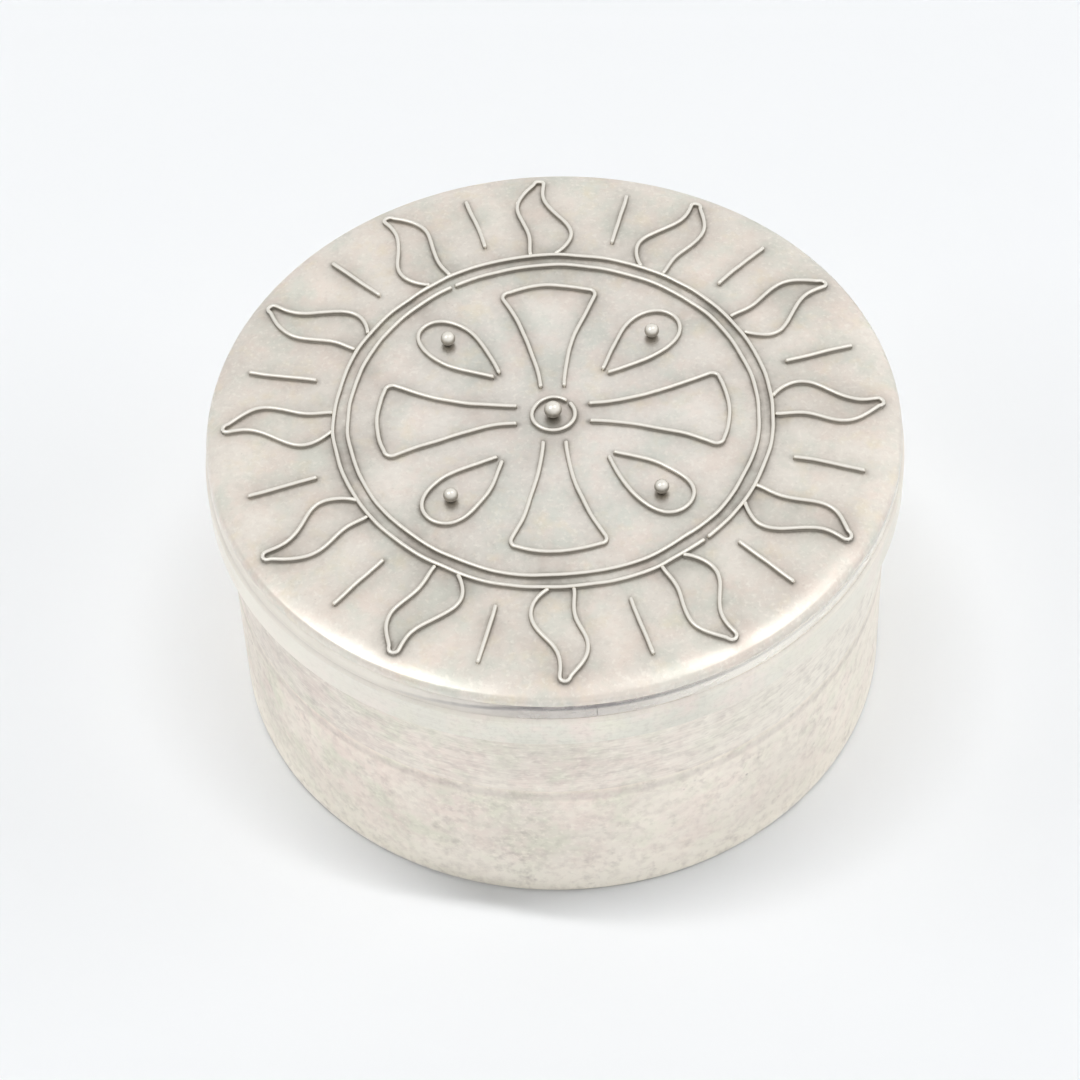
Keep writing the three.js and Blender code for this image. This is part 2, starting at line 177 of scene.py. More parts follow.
class Colours(bpy.types.PropertyGroup):
    """Colours of the metals, the cotton and the stage."""

    plate_silver: colour("Plate silver", "Satin silver of the lid plate", srgb(244, 237, 227))
    plate_warm: colour("Plate warm", "Pinkish patches of the lid plate", srgb(245, 233, 222))
    plate_cool: colour("Plate cool", "Greenish patches of the lid plate", srgb(234, 233, 222))
    wall_silver: colour("Wall silver", "Matt silver of wall and skirt", srgb(249, 242, 232))
    wall_warm: colour("Wall warm", "Pinkish patches of wall and skirt", srgb(248, 237, 228))
    wall_cool: colour("Wall cool", "Greenish patches of wall and skirt", srgb(242, 239, 225))
    band_silver: colour("Band silver", "Smooth silver of the band", srgb(240, 237, 226))
    strip_silver: colour("Strip silver", "Polished silver of the edge strip", srgb(214, 208, 202))
    wire_silver: colour("Wire silver", "Bright silver of the wires", srgb(240, 236, 227))
    tarnish: colour("Tarnish", "Brown-grey tarnish in the corners", srgb(150, 145, 137))
    stain: colour("Stain", "Pale yellow stains on the lid plate", srgb(240, 228, 203))
    # This colour greys the strip's flecks and paints its dark line, a painted shade and reflection
    # along the strip's top.
    solder: colour("Solder", "Dark line that the solder left along the strip", srgb(136, 133, 134))
    # Besides pits and other dark marks, this colour paints shade in a band just below the seam on
    # the wall.
    pit_and_shade: colour("Pit", "Bottom of a pit in the silver", srgb(126, 108, 96))
    # Besides real pale specks, this colour paints light: the paler sides of wall, skirt, band and
    # strip, the wall's paler foot and the bright line on the seam's lip.
    pale_specks_and_painted_light: colour("Rubbed", "Pale specks and the paler sides of the silver", srgb(255, 250, 240))
    gilt: colour("Gilt", "Gilding of the liner", srgb(228, 188, 112))
    gilt_pale: colour("Gilt pale", "Worn gilding of the liner", srgb(233, 213, 160))
    cotton: colour("Cotton", "Raw cotton", srgb(240, 236, 225))
    paper: colour("Paper", "White surface that the box stands on", srgb(246, 248, 250))


class StudioSettings(bpy.types.PropertyGroup):
    """Camera and lights."""

    distance: length("Distance", "From the camera to the middle of the box's underside", 0.4)
    elevation: angle("Elevation", "Height of the camera above the horizon", 52.16)
    pan: angle("Pan", "Turn of the camera to the right", -0.28)
    tilt: angle("Tilt", "Turn of the camera upwards", 1.39)
    roll: angle("Roll", "Turn of the camera round its own axis", -2.31)
    focal: number("Focal length", "Focal length of the lens in mm", 123.87)
    room: number("Room", "Brightness of the white room as a light", 0.34)
    room_slope: number("Room slope", "How much brighter the room is behind the box", 0.1)
    room_in_metal: number("Room in metal", "Brightness of the room as metal mirrors it", 0.95)
    room_tilt: number("Room tilt", "How much brighter metal mirrors the room's right side", 0.12)
    above: number("Light from above", "Share of the floor's light from straight above", 0.575)
    sides: number("Light from the sides", "Share of the floor's light from each side", 0.07)
    off_wall: number("Light off the wall", "How bright the wall lights the floor beside it", 1.05)
    panel: number("Panels", "Brightness of the white panels that the metal mirrors", 1.65)


# Node trees


def put(tree, socket, source):
    """Joins a socket to a source, or sets it to a fixed value."""
    if isinstance(source, Value):
        tree.links.new(source.socket, socket)
    else:
        socket.default_value = source


def usable_input(node, name):
    """The node's input of that name or number; some nodes hide others of the same name."""
    if isinstance(name, int):
        return node.inputs[name]
    return next(socket for socket in node.inputs if socket.name == name and socket.enabled)


class Value:
    """A socket in a node tree, on which formulas are written as plain arithmetic."""

    def __init__(self, tree, socket):
        self.tree = tree
        self.socket = socket

    def math(self, operation, *others):
        node = self.tree.nodes.new("ShaderNodeMath")
        node.operation = operation
        for place, source in enumerate((self, *others)):
            put(self.tree, node.inputs[place], source)
        return Value(self.tree, node.outputs[0])

    def __add__(self, other):
        return self.math("ADD", other)

    def __sub__(self, other):
        return self.math("SUBTRACT", other)

    def __mul__(self, other):
        return self.math("MULTIPLY", other)

    def __truediv__(self, other):
        return self.math("DIVIDE", other)

    def __pow__(self, other):
        return self.math("POWER", other)

    def inverse(self):
        """One minus the value."""
        return self * -1 + 1

    def spread(self, low, high):
        """0 at low and 1 at high, and flat beyond them."""
        return ((self - low) / (high - low)).math("MAXIMUM", 0).math("MINIMUM", 1)


def add(tree, kind, inputs=None, output=0, **settings):
    """Adds a node with its settings and inputs, and returns one of its outputs."""
    node = tree.nodes.new(kind)
    for name, value in settings.items():
        setattr(node, name, value)
    for name, source in (inputs or {}).items():
        put(tree, usable_input(node, name), source)
    return Value(tree, node.outputs[output])


def parts_of(tree, vector):
    """The three components of a vector."""
    node = tree.nodes.new("ShaderNodeSeparateXYZ")
    put(tree, node.inputs[0], vector)
    return [Value(tree, socket) for socket in node.outputs]


def vector_of(tree, x=0.0, y=0.0, z=0.0):
    """A vector from its three components."""
    return add(tree, "ShaderNodeCombineXYZ", {"X": x, "Y": y, "Z": z})


def shrunk(tree, vector, size):
    """A vector divided by a length."""
    return add(tree, "ShaderNodeVectorMath", {0: vector, "Scale": size**-1}, operation="SCALE")


def noise(tree, vector, size, detail=2.0, rough=0.5, stretch=(1, 1, 1), seed=0.0, output=0):
    """Smooth noise whose patches are about as large as size, longer where stretch is above 1."""
    scale = tuple(1 / (size * part) for part in stretch)
    scaled = add(tree, "ShaderNodeVectorMath", {0: vector, 1: scale}, operation="MULTIPLY")
    return add(
        tree,
        "ShaderNodeTexNoise",
        {"Vector": scaled, "W": seed, "Scale": 1.0, "Detail": detail, "Roughness": rough},
        output,
        noise_dimensions="4D",
    )


# Geometry Nodes trees


def geometry_tree(name, inputs):
    """An empty tree with named inputs, given as {name: (socket type, default)}."""
    tree = bpy.data.node_groups.new(name, "GeometryNodeTree")
    tree.interface.new_socket("Geometry", in_out="INPUT", socket_type="NodeSocketGeometry")
    for label, (kind, default) in inputs.items():
        socket = tree.interface.new_socket(label, in_out="INPUT", socket_type="NodeSocket" + kind)
        if default is not None:
            socket.default_value = default
    tree.interface.new_socket("Geometry", in_out="OUTPUT", socket_type="NodeSocketGeometry")
    group = tree.nodes.new("NodeGroupInput")
    return tree, {socket.name: Value(tree, socket) for socket in group.outputs if socket.name}


def close_tree(tree, geometry, material):
    """Ends a tree: its instances are made real, smooth and of one material."""
    smooth = add(tree, "GeometryNodeSetShadeSmooth", {"Geometry": geometry})
    real = add(tree, "GeometryNodeRealizeInstances", {"Geometry": smooth})
    dressed = add(tree, "GeometryNodeSetMaterial", {"Geometry": real, "Material": material})
    tree.links.new(dressed.socket, tree.nodes.new("NodeGroupOutput").inputs[0])
    return tree


def turned_tree():
    """Turns a half section round the upright axis, whole or open at a joint."""
    tree, given = geometry_tree(
        "Turned piece",
        {
            "Rail Radius": ("Float", 0.03),
            "Steps": ("Int", 240),
            "Joint Gap": ("Float", 0.0),
            "Joint Angle": ("Float", 0.0),
            "Unevenness": ("Float", 0.0),
            "Wave Length": ("Float", 0.01),
            "Seed": ("Float", 0.0),
            "Material": ("Material", None),
        },
    )
    ring = add(
        tree,
        "GeometryNodeCurvePrimitiveCircle",
        {"Resolution": given["Steps"], "Radius": given["Rail Radius"]},
    )
    gap_angle = given["Joint Gap"] / given["Rail Radius"]
    bar = add(
        tree,
        "GeometryNodeCurveArc",
        {
            "Resolution": given["Steps"],
            "Radius": given["Rail Radius"],
            "Start Angle": given["Joint Angle"] + gap_angle * 0.5,
            "Sweep Angle": gap_angle * -1 + 2 * math.pi,
        },
    )
    jointed = given["Joint Gap"].math("GREATER_THAN", 0.0)
    rail = add(tree, "GeometryNodeSwitch", {"Switch": jointed, "False": ring, "True": bar})
    upright = add(tree, "GeometryNodeSetCurveNormal", {"Curve": rail}, mode="Z_UP")
    swept = add(
        tree,
        "GeometryNodeCurveToMesh",
        {"Curve": upright, "Profile Curve": given["Geometry"], "Fill Caps": jointed},
    )
    whole = add(tree, "GeometryNodeMergeByDistance", {"Geometry": swept, "Distance": 1e-6})
    place = add(tree, "GeometryNodeInputPosition")
    scaled = shrunk(tree, place, given["Wave Length"])
    stray = noise(tree, scaled, 1.0, detail=1.0, seed=given["Seed"])
    normal = add(tree, "GeometryNodeInputNormal")
    push = add(
        tree,
        "ShaderNodeVectorMath",
        {0: normal, "Scale": (stray - 0.5) * given["Unevenness"] * 2},
        operation="SCALE",
    )
    waved = add(tree, "GeometryNodeSetPosition", {"Geometry": whole, "Offset": push})
    return close_tree(tree, waved, given["Material"])


def plate_height(radius, rim_top, plate_radius, dome_rise, roll_drop, roll_start, roll_width):
    """Height of the lid plate's top: a low dome that rolls down over its outer width."""
    roll = ((radius - roll_start) / roll_width).math("MAXIMUM", 0)
    roll_end = roll_start + roll_width
    dome = (roll_end**2 - radius**2) / plate_radius**2
    return rim_top + dome_rise * dome + roll_drop * (roll**2).inverse()


def wire_tree():
    """Bends drawn outlines into soldered wires on the lid plate, repeated round its middle."""
    tree, given = geometry_tree(
        "Soldered wire",
        {
            "Section": ("Object", None),
            "Count": ("Int", 1),
            "First Angle": ("Float", 0.0),
            "Mirror Every Other": ("Float", 0.0),
            "Angle Scatter": ("Float", 0.0),
            "Wire Radius": ("Float", 0.0003),
            "Waver": ("Float", 0.0),
            "Waver Length": ("Float", 0.006),
            "Sunk": ("Float", 0.0),
            "Rim Top": ("Float", 0.034),
            "Plate Radius": ("Float", 0.035),
            "Dome Rise": ("Float", 0.0006),
            "Roll Drop": ("Float", 0.0004),
            "Roll Start": ("Float", 0.032),
            "Roll Width": ("Float", 0.0024),
            "Seed": ("Int", 0),
            "Material": ("Material", None),
        },
    )
    middle = add(tree, "GeometryNodePoints", {"Count": given["Count"]})
    index = add(tree, "GeometryNodeInputIndex")
    scatter = add(
        tree,
        "FunctionNodeRandomValue",
        {"Min": given["Angle Scatter"] * -1, "Max": given["Angle Scatter"], "Seed": given["Seed"]},
        output=1,
    )
    turn = given["First Angle"] + index * (2 * math.pi) / given["Count"] + scatter
    flip = index.math("MODULO", 2.0) * given["Mirror Every Other"] * -2 + 1
    turned = add(
        tree,
        "GeometryNodeInstanceOnPoints",
        {
            "Points": middle,
            "Instance": given["Geometry"],
            "Rotation": vector_of(tree, z=turn),
            "Scale": vector_of(tree, 1.0, flip, 1.0),
        },
    )
    outlines = add(tree, "GeometryNodeRealizeInstances", {"Geometry": turned})
    place = add(tree, "GeometryNodeInputPosition")
    scaled = shrunk(tree, place, given["Waver Length"])
    stray = noise(tree, scaled, 1.0, detail=1.0, seed=given["Seed"], output=1)
    x, y, _ = parts_of(tree, place)
    stray_x, stray_y, _ = parts_of(tree, stray)
    x = x + (stray_x - 0.5) * given["Waver"] * 4
    y = y + (stray_y - 0.5) * given["Waver"] * 4
    radius = (x**2 + y**2) ** 0.5
    height = plate_height(
        radius,
        given["Rim Top"],
        given["Plate Radius"],
        given["Dome Rise"],
        given["Roll Drop"],
        given["Roll Start"],
        given["Roll Width"],
    )
    lifted = add(
        tree,
        "GeometryNodeSetPosition",
        {"Geometry": outlines, "Position": vector_of(tree, x, y, height - given["Sunk"])},
    )
    upright = add(tree, "GeometryNodeSetCurveNormal", {"Curve": lifted}, mode="Z_UP")
    along = add(tree, "GeometryNodeSplineParameter", output=1)
    whole = add(tree, "GeometryNodeSplineLength")
    from_end = along.math("MINIMUM", whole - along)
    turn_in = (from_end / given["Wire Radius"]).math("MINIMUM", 1)
    least_scale = 0.04
    rounded = ((turn_in.inverse() ** 2).inverse() ** 0.5).math("MAXIMUM", least_scale)
    section = add(tree, "GeometryNodeObjectInfo", {"Object": given["Section"]}, output=4)
    _, profile_height, _ = parts_of(tree, add(tree, "GeometryNodeInputPosition"))
    foot = (profile_height * -1 / (given["Wire Radius"] * 2)).spread(0.0, 1.0).inverse()
    marked = add(
        tree,
        "GeometryNodeStoreNamedAttribute",
        {"Geometry": section, "Name": "foot", "Value": foot},
        data_type="FLOAT",
        domain="POINT",
    )
    wire = add(
        tree,
        "GeometryNodeCurveToMesh",
        {"Curve": upright, "Profile Curve": marked, "Scale": rounded, "Fill Caps": True},
    )
    return close_tree(tree, wire, given["Material"])


def fibre_tree():
    """Scatters short curled fibres over a surface."""
    tree, given = geometry_tree(
        "Cotton fibres",
        {
            "Density": ("Float", 1e5),
            "Fibre Length": ("Float", 0.004),
            "Fibre Radius": ("Float", 0.00002),
            "Seed": ("Int", 0),
            "Material": ("Material", None),
        },
    )
    scatter = tree.nodes.new("GeometryNodeDistributePointsOnFaces")
    put(tree, scatter.inputs["Mesh"], given["Geometry"])
    put(tree, scatter.inputs["Density"], given["Density"])
    put(tree, scatter.inputs["Seed"], given["Seed"])
    points, rotation = (Value(tree, scatter.outputs[name]) for name in ("Points", "Rotation"))
    fibre = tree.nodes.new("GeometryNodeCurvePrimitiveBezierSegment")
    fibre.inputs["Resolution"].default_value = 7
    half = given["Fibre Length"] * 0.5
    put(tree, fibre.inputs["Start"], vector_of(tree, half * -1, 0.0, half * -0.12))
    put(tree, fibre.inputs["Start Handle"], vector_of(tree, half * -0.4, half * 0.8, half * 0.35))
    put(tree, fibre.inputs["End Handle"], vector_of(tree, half * 0.3, half * -0.9, half * 0.3))
    put(tree, fibre.inputs["End"], vector_of(tree, half, half * 0.2, half * -0.1))
    spin = add(
        tree,
        "FunctionNodeRandomValue",
        {"Min": 0.0, "Max": 2 * math.pi, "Seed": given["Seed"]},
        output=1,
    )
    turned = tree.nodes.new("FunctionNodeRotateRotation")
    turned.rotation_space = "LOCAL"
    put(tree, turned.inputs[0], rotation)
    put(tree, turned.inputs[1], vector_of(tree, z=spin))
    size = add(
        tree,
        "FunctionNodeRandomValue",
        {"Min": 0.5, "Max": 1.3, "Seed": given["Seed"] + 1},
        output=1,
    )
    laid = add(
        tree,
        "GeometryNodeInstanceOnPoints",
        {
            "Points": points,
            "Instance": Value(tree, fibre.outputs[0]),
            "Rotation": Value(tree, turned.outputs[0]),
            "Scale": vector_of(tree, size, size, size),
        },
    )
    real = add(tree, "GeometryNodeRealizeInstances", {"Geometry": laid})
    round_section = add(
        tree,
        "GeometryNodeCurvePrimitiveCircle",
        {"Resolution": 3, "Radius": given["Fibre Radius"]},
    )
    strands = add(
        tree,
        "GeometryNodeCurveToMesh",
        {"Curve": real, "Profile Curve": round_section, "Fill Caps": True},
    )
    return close_tree(tree, strands, given["Material"])


# Pieces


def added(name, data):
    """A new object of that data, in the scene."""
    made = bpy.data.objects.new(name, data)
    bpy.context.scene.collection.objects.link(made)
    return made


def drawn(name, outlines, closed=False):
    """A curve object with one straight-sided spline for each outline of (x, y) points."""
    curve = bpy.data.curves.new(name, "CURVE")
    curve.dimensions = "3D"
    for outline in outlines:
        spline = curve.splines.new("POLY")
        spline.points.add(len(outline) - 1)
        for point, (x, y) in zip(spline.points, outline):
            point.co = (x, y, 0, 1)
        spline.use_cyclic_u = closed
    return added(name, curve)


def face_outwards(mesh):
    """Turns a closed mesh the right way round if it encloses less than nothing."""
    mesh.calc_loop_triangles()
    corners = vertex_places(mesh)
    triangles = np.zeros(len(mesh.loop_triangles) * 3, np.int32)
    mesh.loop_triangles.foreach_get("vertices", triangles)
    a, b, c = (corners[triangles.reshape(-1, 3)[:, k]] for k in range(3))
    if np.einsum("ij,ij->i", a, np.cross(b, c)).sum() < 0:
        mesh.flip_normals()


def shaped(name, source, tree, settings):
    """Runs a tree on a source object and keeps the result as a plain mesh piece at the origin."""
    modifier = source.modifiers.new("Shape", "NODES")
    modifier.node_group = tree
    for item in tree.interface.items_tree:
        if item.item_type == "SOCKET" and item.in_out == "INPUT" and item.name in settings:
            modifier[item.identifier] = settings[item.name]
    graph = bpy.context.evaluated_depsgraph_get()
    mesh = bpy.data.meshes.new_from_object(
        source.evaluated_get(graph), preserve_all_data_layers=True, depsgraph=graph
    )
    if not mesh.vertices:
        raise RuntimeError(f"the tree {tree.name} made nothing for {name}")
    mesh.name = name
    face_outwards(mesh)
    bpy.data.objects.remove(source)
    return added(name, mesh)


def tree_named(name, make):
    """The node tree of that name, made on its first use."""
    return bpy.data.node_groups.get(name) or make()


def arc(x, y, radius, start, end, steps):
    """Points of an arc round (x, y), from one angle to the other, in degrees."""
    angles = np.radians(np.linspace(start, end, steps + 1))
    return [(x + radius * math.cos(a), y + radius * math.sin(a)) for a in angles]


def hung(section, middle=0.0):
    """A section as a sweep takes it: across from its rail, and with y running down."""
    return [(x - middle, -y) for x, y in section]


def with_holding_points(section, closed):
    """Adds a point close to each end of a long straight, so that flats stay flat when smoothed."""
    distance, shortest = 0.12 * MM, 0.48 * MM
    held = []
    ring = section + section[:1] if closed else section
    for (x0, y0), (x1, y1) in zip(ring, ring[1:]):
        held.append((x0, y0))
        run = math.hypot(x1 - x0, y1 - y0)
        if run > shortest:
            for share in (distance / run, 1 - distance / run):
                held.append((x0 + (x1 - x0) * share, y0 + (y1 - y0) * share))
    return held if closed else held + section[-1:]


def turned_piece(name, section, material, closed=True, steps=240, seed=0, uneven=None, joint=None):
    """A turned piece from its half section of (radius, height) points.

    A joint is given as its gap and its angle, and leaves the piece a bar with two ends.
    """
    sizes = bpy.context.scene.oil_box_turned
    rail = turned_reach("body_wall")
    held = with_holding_points(section, closed)
    source = drawn(name + "_section", [hung(held, rail)], closed)
    settings = {
        "Rail Radius": rail,
        "Steps": steps,
        "Joint Gap": joint[0] if joint else 0.0,
        "Joint Angle": joint[1] if joint else 0.0,
        "Unevenness": sizes.unevenness if uneven is None else uneven,
        "Wave Length": sizes.wave_length,
        "Seed": float(seed),
        "Material": material,
    }
    return shaped(name, source, tree_named("Turned piece", turned_tree), settings)


# Materials


def finish(name):
    """A new material: its tree, its shader node and the object coordinates."""
    material = bpy.data.materials.new(name)
    material.use_nodes = True
    tree = material.node_tree
    shader = tree.nodes["Principled BSDF"]
    place = add(tree, "ShaderNodeTexCoord", output=3)
    return material, tree, shader, place


def mixed(tree, share, first, second, blend="MIX"):
    """A mix of two colours, each a Value or three numbers."""
    first, second = (c if isinstance(c, Value) else (*c, 1.0) for c in (first, second))
    node = tree.nodes.new("ShaderNodeMix")
    node.data_type = "RGBA"
    node.blend_type = blend
    put(tree, usable_input(node, "Factor"), share)
    put(tree, usable_input(node, "A"), first)
    put(tree, usable_input(node, "B"), second)
    return Value(tree, next(socket for socket in node.outputs if socket.enabled))


def spots(tree, place, spacing, size, share, seed=0.0):
    """Scattered round spots: 1 in the middle of a spot and 0 outside."""
    cells = tree.nodes.new("ShaderNodeTexVoronoi")
    cells.voronoi_dimensions = "4D"
    put(tree, cells.inputs["Vector"], shrunk(tree, place, spacing))
    cells.inputs["W"].default_value = seed
    cells.inputs["Scale"].default_value = 1.0
    chance, spread, _ = parts_of(tree, Value(tree, cells.outputs["Color"]))
    reach = spread * (0.6 * size / spacing) + 0.4 * size / spacing
    inside = (Value(tree, cells.outputs["Distance"]) / reach).spread(0.45, 1.0).inverse()
    return inside * chance.spread(1 - share, 1 - share + 0.02)


def relief(tree, shader, raised, depth):
    """Raises the surface by a field of shares of a depth."""
    bump = add(tree, "ShaderNodeBump", {"Height": raised, "Distance": depth})
    tree.links.new(bump.socket, shader.inputs["Normal"])


def metal(tree, shader, tint, roughness, raised, depth):
    """Ends a metal: its colour, its roughness and the fine relief of its surface."""
    shader.inputs["Metallic"].default_value = 1.0
    tree.links.new(tint.socket, shader.inputs["Base Color"])
    tree.links.new(roughness.socket, shader.inputs["Roughness"])
    relief(tree, shader, raised, depth)


def layered(tree, tint, *layers):
    """Lays colours over a tint one after the other, each given after its share."""
    for share, above in layers:
        tint = mixed(tree, share, tint, above)
    return tint


def times(tree, tint, other):
    """One colour multiplied by another."""
    return mixed(tree, 1.0, tint, other, "MULTIPLY")


def patchy_silver(tree, place, plain, dark=0.88, seed=0.0, warm=None, cool=None):
    """Silver that drifts between a plain, a warm and a cool tint, and gets darker in places."""
    colours = bpy.context.scene.oil_box_colours
    drift = noise(tree, place, 5 * MM, detail=3, rough=0.6, seed=seed)
    other = noise(tree, place, 4.5 * MM, detail=3, rough=0.6, seed=seed + 3)
    tint = mixed(tree, drift.spread(0.45, 0.62), plain, warm or colours.wall_warm)
    tint = mixed(tree, other.spread(0.48, 0.65), tint, cool or colours.wall_cool)
    shade = noise(tree, place, 13 * MM, detail=3, rough=0.6, seed=seed + 7).spread(0.35, 0.62)
    return times(tree, tint, mixed(tree, shade, (dark, dark, dark), WHITE))


def plate_material():
    """Satin silver of the lid plate: greyer in the middle, tarnished beside the wires, and darker
    under its edge with tarnish and painted shade.
    """
    colours = bpy.context.scene.oil_box_colours
    material, tree, shader, place = finish("plate_finish")
    warm, cool = colours.plate_warm, colours.plate_cool
    tint = patchy_silver(tree, place, colours.plate_silver, seed=2.0, warm=warm, cool=cool)
    across, along, height = parts_of(tree, place)
    reach = (across**2 + along**2) ** 0.5
    outward = reach + noise(tree, place, 9 * MM, seed=15.0) * 8 * MM
    worn = outward.spread(14 * MM, 32 * MM)
    grey_middle = (0.965, 0.98, 1.0)
    tint = times(tree, tint, mixed(tree, worn, grey_middle, WHITE))
    clouds = noise(tree, place, 17 * MM, detail=2, rough=0.6, seed=16.0)
    smudges = noise(tree, place, 2.4 * MM, detail=4, rough=0.65, seed=17.0)
    stains = noise(tree, place, 3.2 * MM, detail=3, rough=0.6, seed=18.0)
    mottle = noise(tree, place, 0.8 * MM, detail=3, rough=0.65, seed=20.0)
    grain = noise(tree, place, 0.35 * MM, detail=3, rough=0.7, seed=5.0)
    specks = noise(tree, place, 0.45 * MM, detail=2, seed=22.0)
    tarnish = add(tree, "ShaderNodeAttribute", output=2, attribute_name="tarnish")
    patches = noise(tree, place, 1.1 * MM, detail=3, rough=0.6, seed=9.0).spread(0.3, 0.7)
    stretches = noise(tree, place, 6 * MM, detail=1, seed=19.0).spread(0.35, 0.65)
    soiled = (tarnish * (patches * 0.5 + stretches * 0.8 + 0.25)).math("MINIMUM", 0.9)
    pits = spots(tree, place, 4.2 * MM, 0.3 * MM, 0.3, seed=1.0)
    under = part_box("lid_plate")[0].z
    # Darker in the crease under the plate's edge: tarnish with painted shade, faded out on the left
    # where the light falls.
    crease_tarnish_and_shade = height.spread(under, under + 0.1 * MM).inverse() * across.spread(-16 * MM, -2 * MM)
    tint = layered(
        tree,
        tint,
        (clouds.spread(0.36, 0.52).inverse() * worn * 0.09, colours.tarnish),
        (smudges.spread(0.52, 0.72) * 0.1, colours.tarnish),
        (stains.spread(0.54, 0.7) * 0.45, colours.stain),
        (mottle.spread(0.48, 0.75) * 0.1, colours.pit_and_shade),
        (grain.spread(0.6, 0.8) * 0.22, colours.pit_and_shade),
        (specks.spread(0.54, 0.68) * 0.35, colours.pale_specks_and_painted_light),
        (soiled, colours.tarnish),
        (pits * 0.8, colours.pit_and_shade),
        (crease_tarnish_and_shade * 0.5, colours.tarnish),
    )
    dull = noise(tree, place, 2.5 * MM, detail=2, seed=11.0).spread(0.3, 0.7) * 0.06 + 0.28
    raised = grain * 0.5 + mottle * 0.5 - pits
    metal(tree, shader, tint, dull + soiled * 0.2, raised, 0.02 * MM)
    return material


def wire_material():
    """Bright silver of the wires, dark where their foot meets the plate."""
    colours = bpy.context.scene.oil_box_colours
    material, tree, shader, place = finish("wire_finish")
    foot = add(tree, "ShaderNodeAttribute", output=2, attribute_name="foot")
    patches = noise(tree, place, 0.9 * MM, detail=3, rough=0.6, seed=4.0).spread(0.3, 0.7)
    stretches = noise(tree, place, 5 * MM, detail=1, seed=14.0).spread(0.35, 0.65)
    soiled = (foot + patches * 0.1 + stretches * 0.1 - 0.1).spread(0.14, 0.48)
    tint = mixed(tree, soiled * 0.85, colours.wire_silver, colours.tarnish)
    scuff = noise(tree, place, 0.4 * MM, detail=2, seed=6.0)
    metal(tree, shader, tint, soiled * 0.25 + scuff * 0.1 + 0.27, scuff, 0.006 * MM)
    return material


def wall_material():
    """Matt silver of the body wall: mottled, with clusters of fine pits.

    The paler right side and foot and the bright line on the seam's lip are painted light, and the
    darker band below the seam is painted shade; they don't move with the light.
    """
    colours = bpy.context.scene.oil_box_colours
    material, tree, shader, place = finish("wall_finish")
    across, _, height = parts_of(tree, place)
    pale_right = across.spread(0, 20 * MM) * 0.4
    pale_foot = height.spread(0.5 * MM, 7 * MM).inverse()
    mottle = noise(tree, place, 1.0 * MM, detail=3, rough=0.6, seed=23.0)
    cluster = noise(tree, place, 4 * MM, detail=2, seed=25.0).spread(0.45, 0.65)
    specks = noise(tree, place, 0.6 * MM, detail=2, rough=0.5, seed=27.0)
    fine = spots(tree, place, 0.9 * MM, 0.3 * MM, 0.3, seed=3.0)
    large = spots(tree, place, 2.4 * MM, 0.5 * MM, 0.4, seed=8.0)
    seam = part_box("body_wall")[1].z
    # A darker band just below the seam: painted shade.
    shaded = (height - seam + 0.9 * MM).math("ABSOLUTE").spread(0.3 * MM, 0.8 * MM).inverse()
    # A bright line on the seam's lip: painted highlight.
    lip = height.spread(seam - 0.24 * MM, seam - 0.1 * MM)
    tint = layered(
        tree,
        patchy_silver(tree, place, colours.wall_silver, seed=21.0),
        (pale_right.math("MAXIMUM", pale_foot), colours.pale_specks_and_painted_light),
        (mottle.spread(0.45, 0.75) * (cluster * 0.18 + 0.16), colours.pit_and_shade),
        (specks.spread(0.54, 0.68) * 0.35, colours.pale_specks_and_painted_light),
        (fine * (cluster * 0.3 + 0.05), colours.pit_and_shade),
        (large * (cluster * 0.45 + 0.1), colours.pit_and_shade),
        (shaded * 0.14, colours.pit_and_shade),
        (lip * 0.3, colours.pale_specks_and_painted_light),
    )
    roughness = mottle * 0.15 + lip * 0.1 + 0.52
    metal(tree, shader, tint, roughness, mottle + specks * 0.4 - large, 0.02 * MM)
    return material


def skirt_material():
    """Silver of the skirt, brushed around. The paler right side stands in for light."""
    colours = bpy.context.scene.oil_box_colours
    material, tree, shader, place = finish("skirt_finish")
    across, _, _ = parts_of(tree, place)
    lines = noise(tree, place, 0.14 * MM, detail=3, rough=0.7, stretch=(22, 22, 1), seed=33.0)
    broad = noise(tree, place, 0.5 * MM, detail=3, rough=0.6, stretch=(14, 14, 1), seed=34.0)
    mottle = noise(tree, place, 0.9 * MM, detail=3, rough=0.6, stretch=(1.6, 1.6, 1), seed=35.0)
    specks = noise(tree, place, 0.5 * MM, detail=2, stretch=(1.6, 1.6, 1), seed=37.0)
    nicks = spots(tree, place, 2.2 * MM, 0.35 * MM, 0.3, seed=6.0)
    tint = layered(
        tree,
        patchy_silver(tree, place, colours.wall_silver, dark=0.91, seed=31.0),
        (across.spread(4 * MM, 24 * MM) * 0.9, colours.pale_specks_and_painted_light),
        (0.04, colours.pit_and_shade),
        (lines.spread(0.48, 0.75) * 0.16, colours.pit_and_shade),
        (broad.spread(0.5, 0.75) * 0.12, colours.pit_and_shade),
        (mottle.spread(0.45, 0.75) * 0.24, colours.pit_and_shade),
        (specks.spread(0.54, 0.68) * 0.4, colours.pale_specks_and_painted_light),
        (nicks * 0.3, colours.pit_and_shade),
    )
    raised = lines + broad * 0.6 + mottle - nicks
    metal(tree, shader, tint, lines * 0.2 + 0.38, raised, 0.01 * MM)
    return material


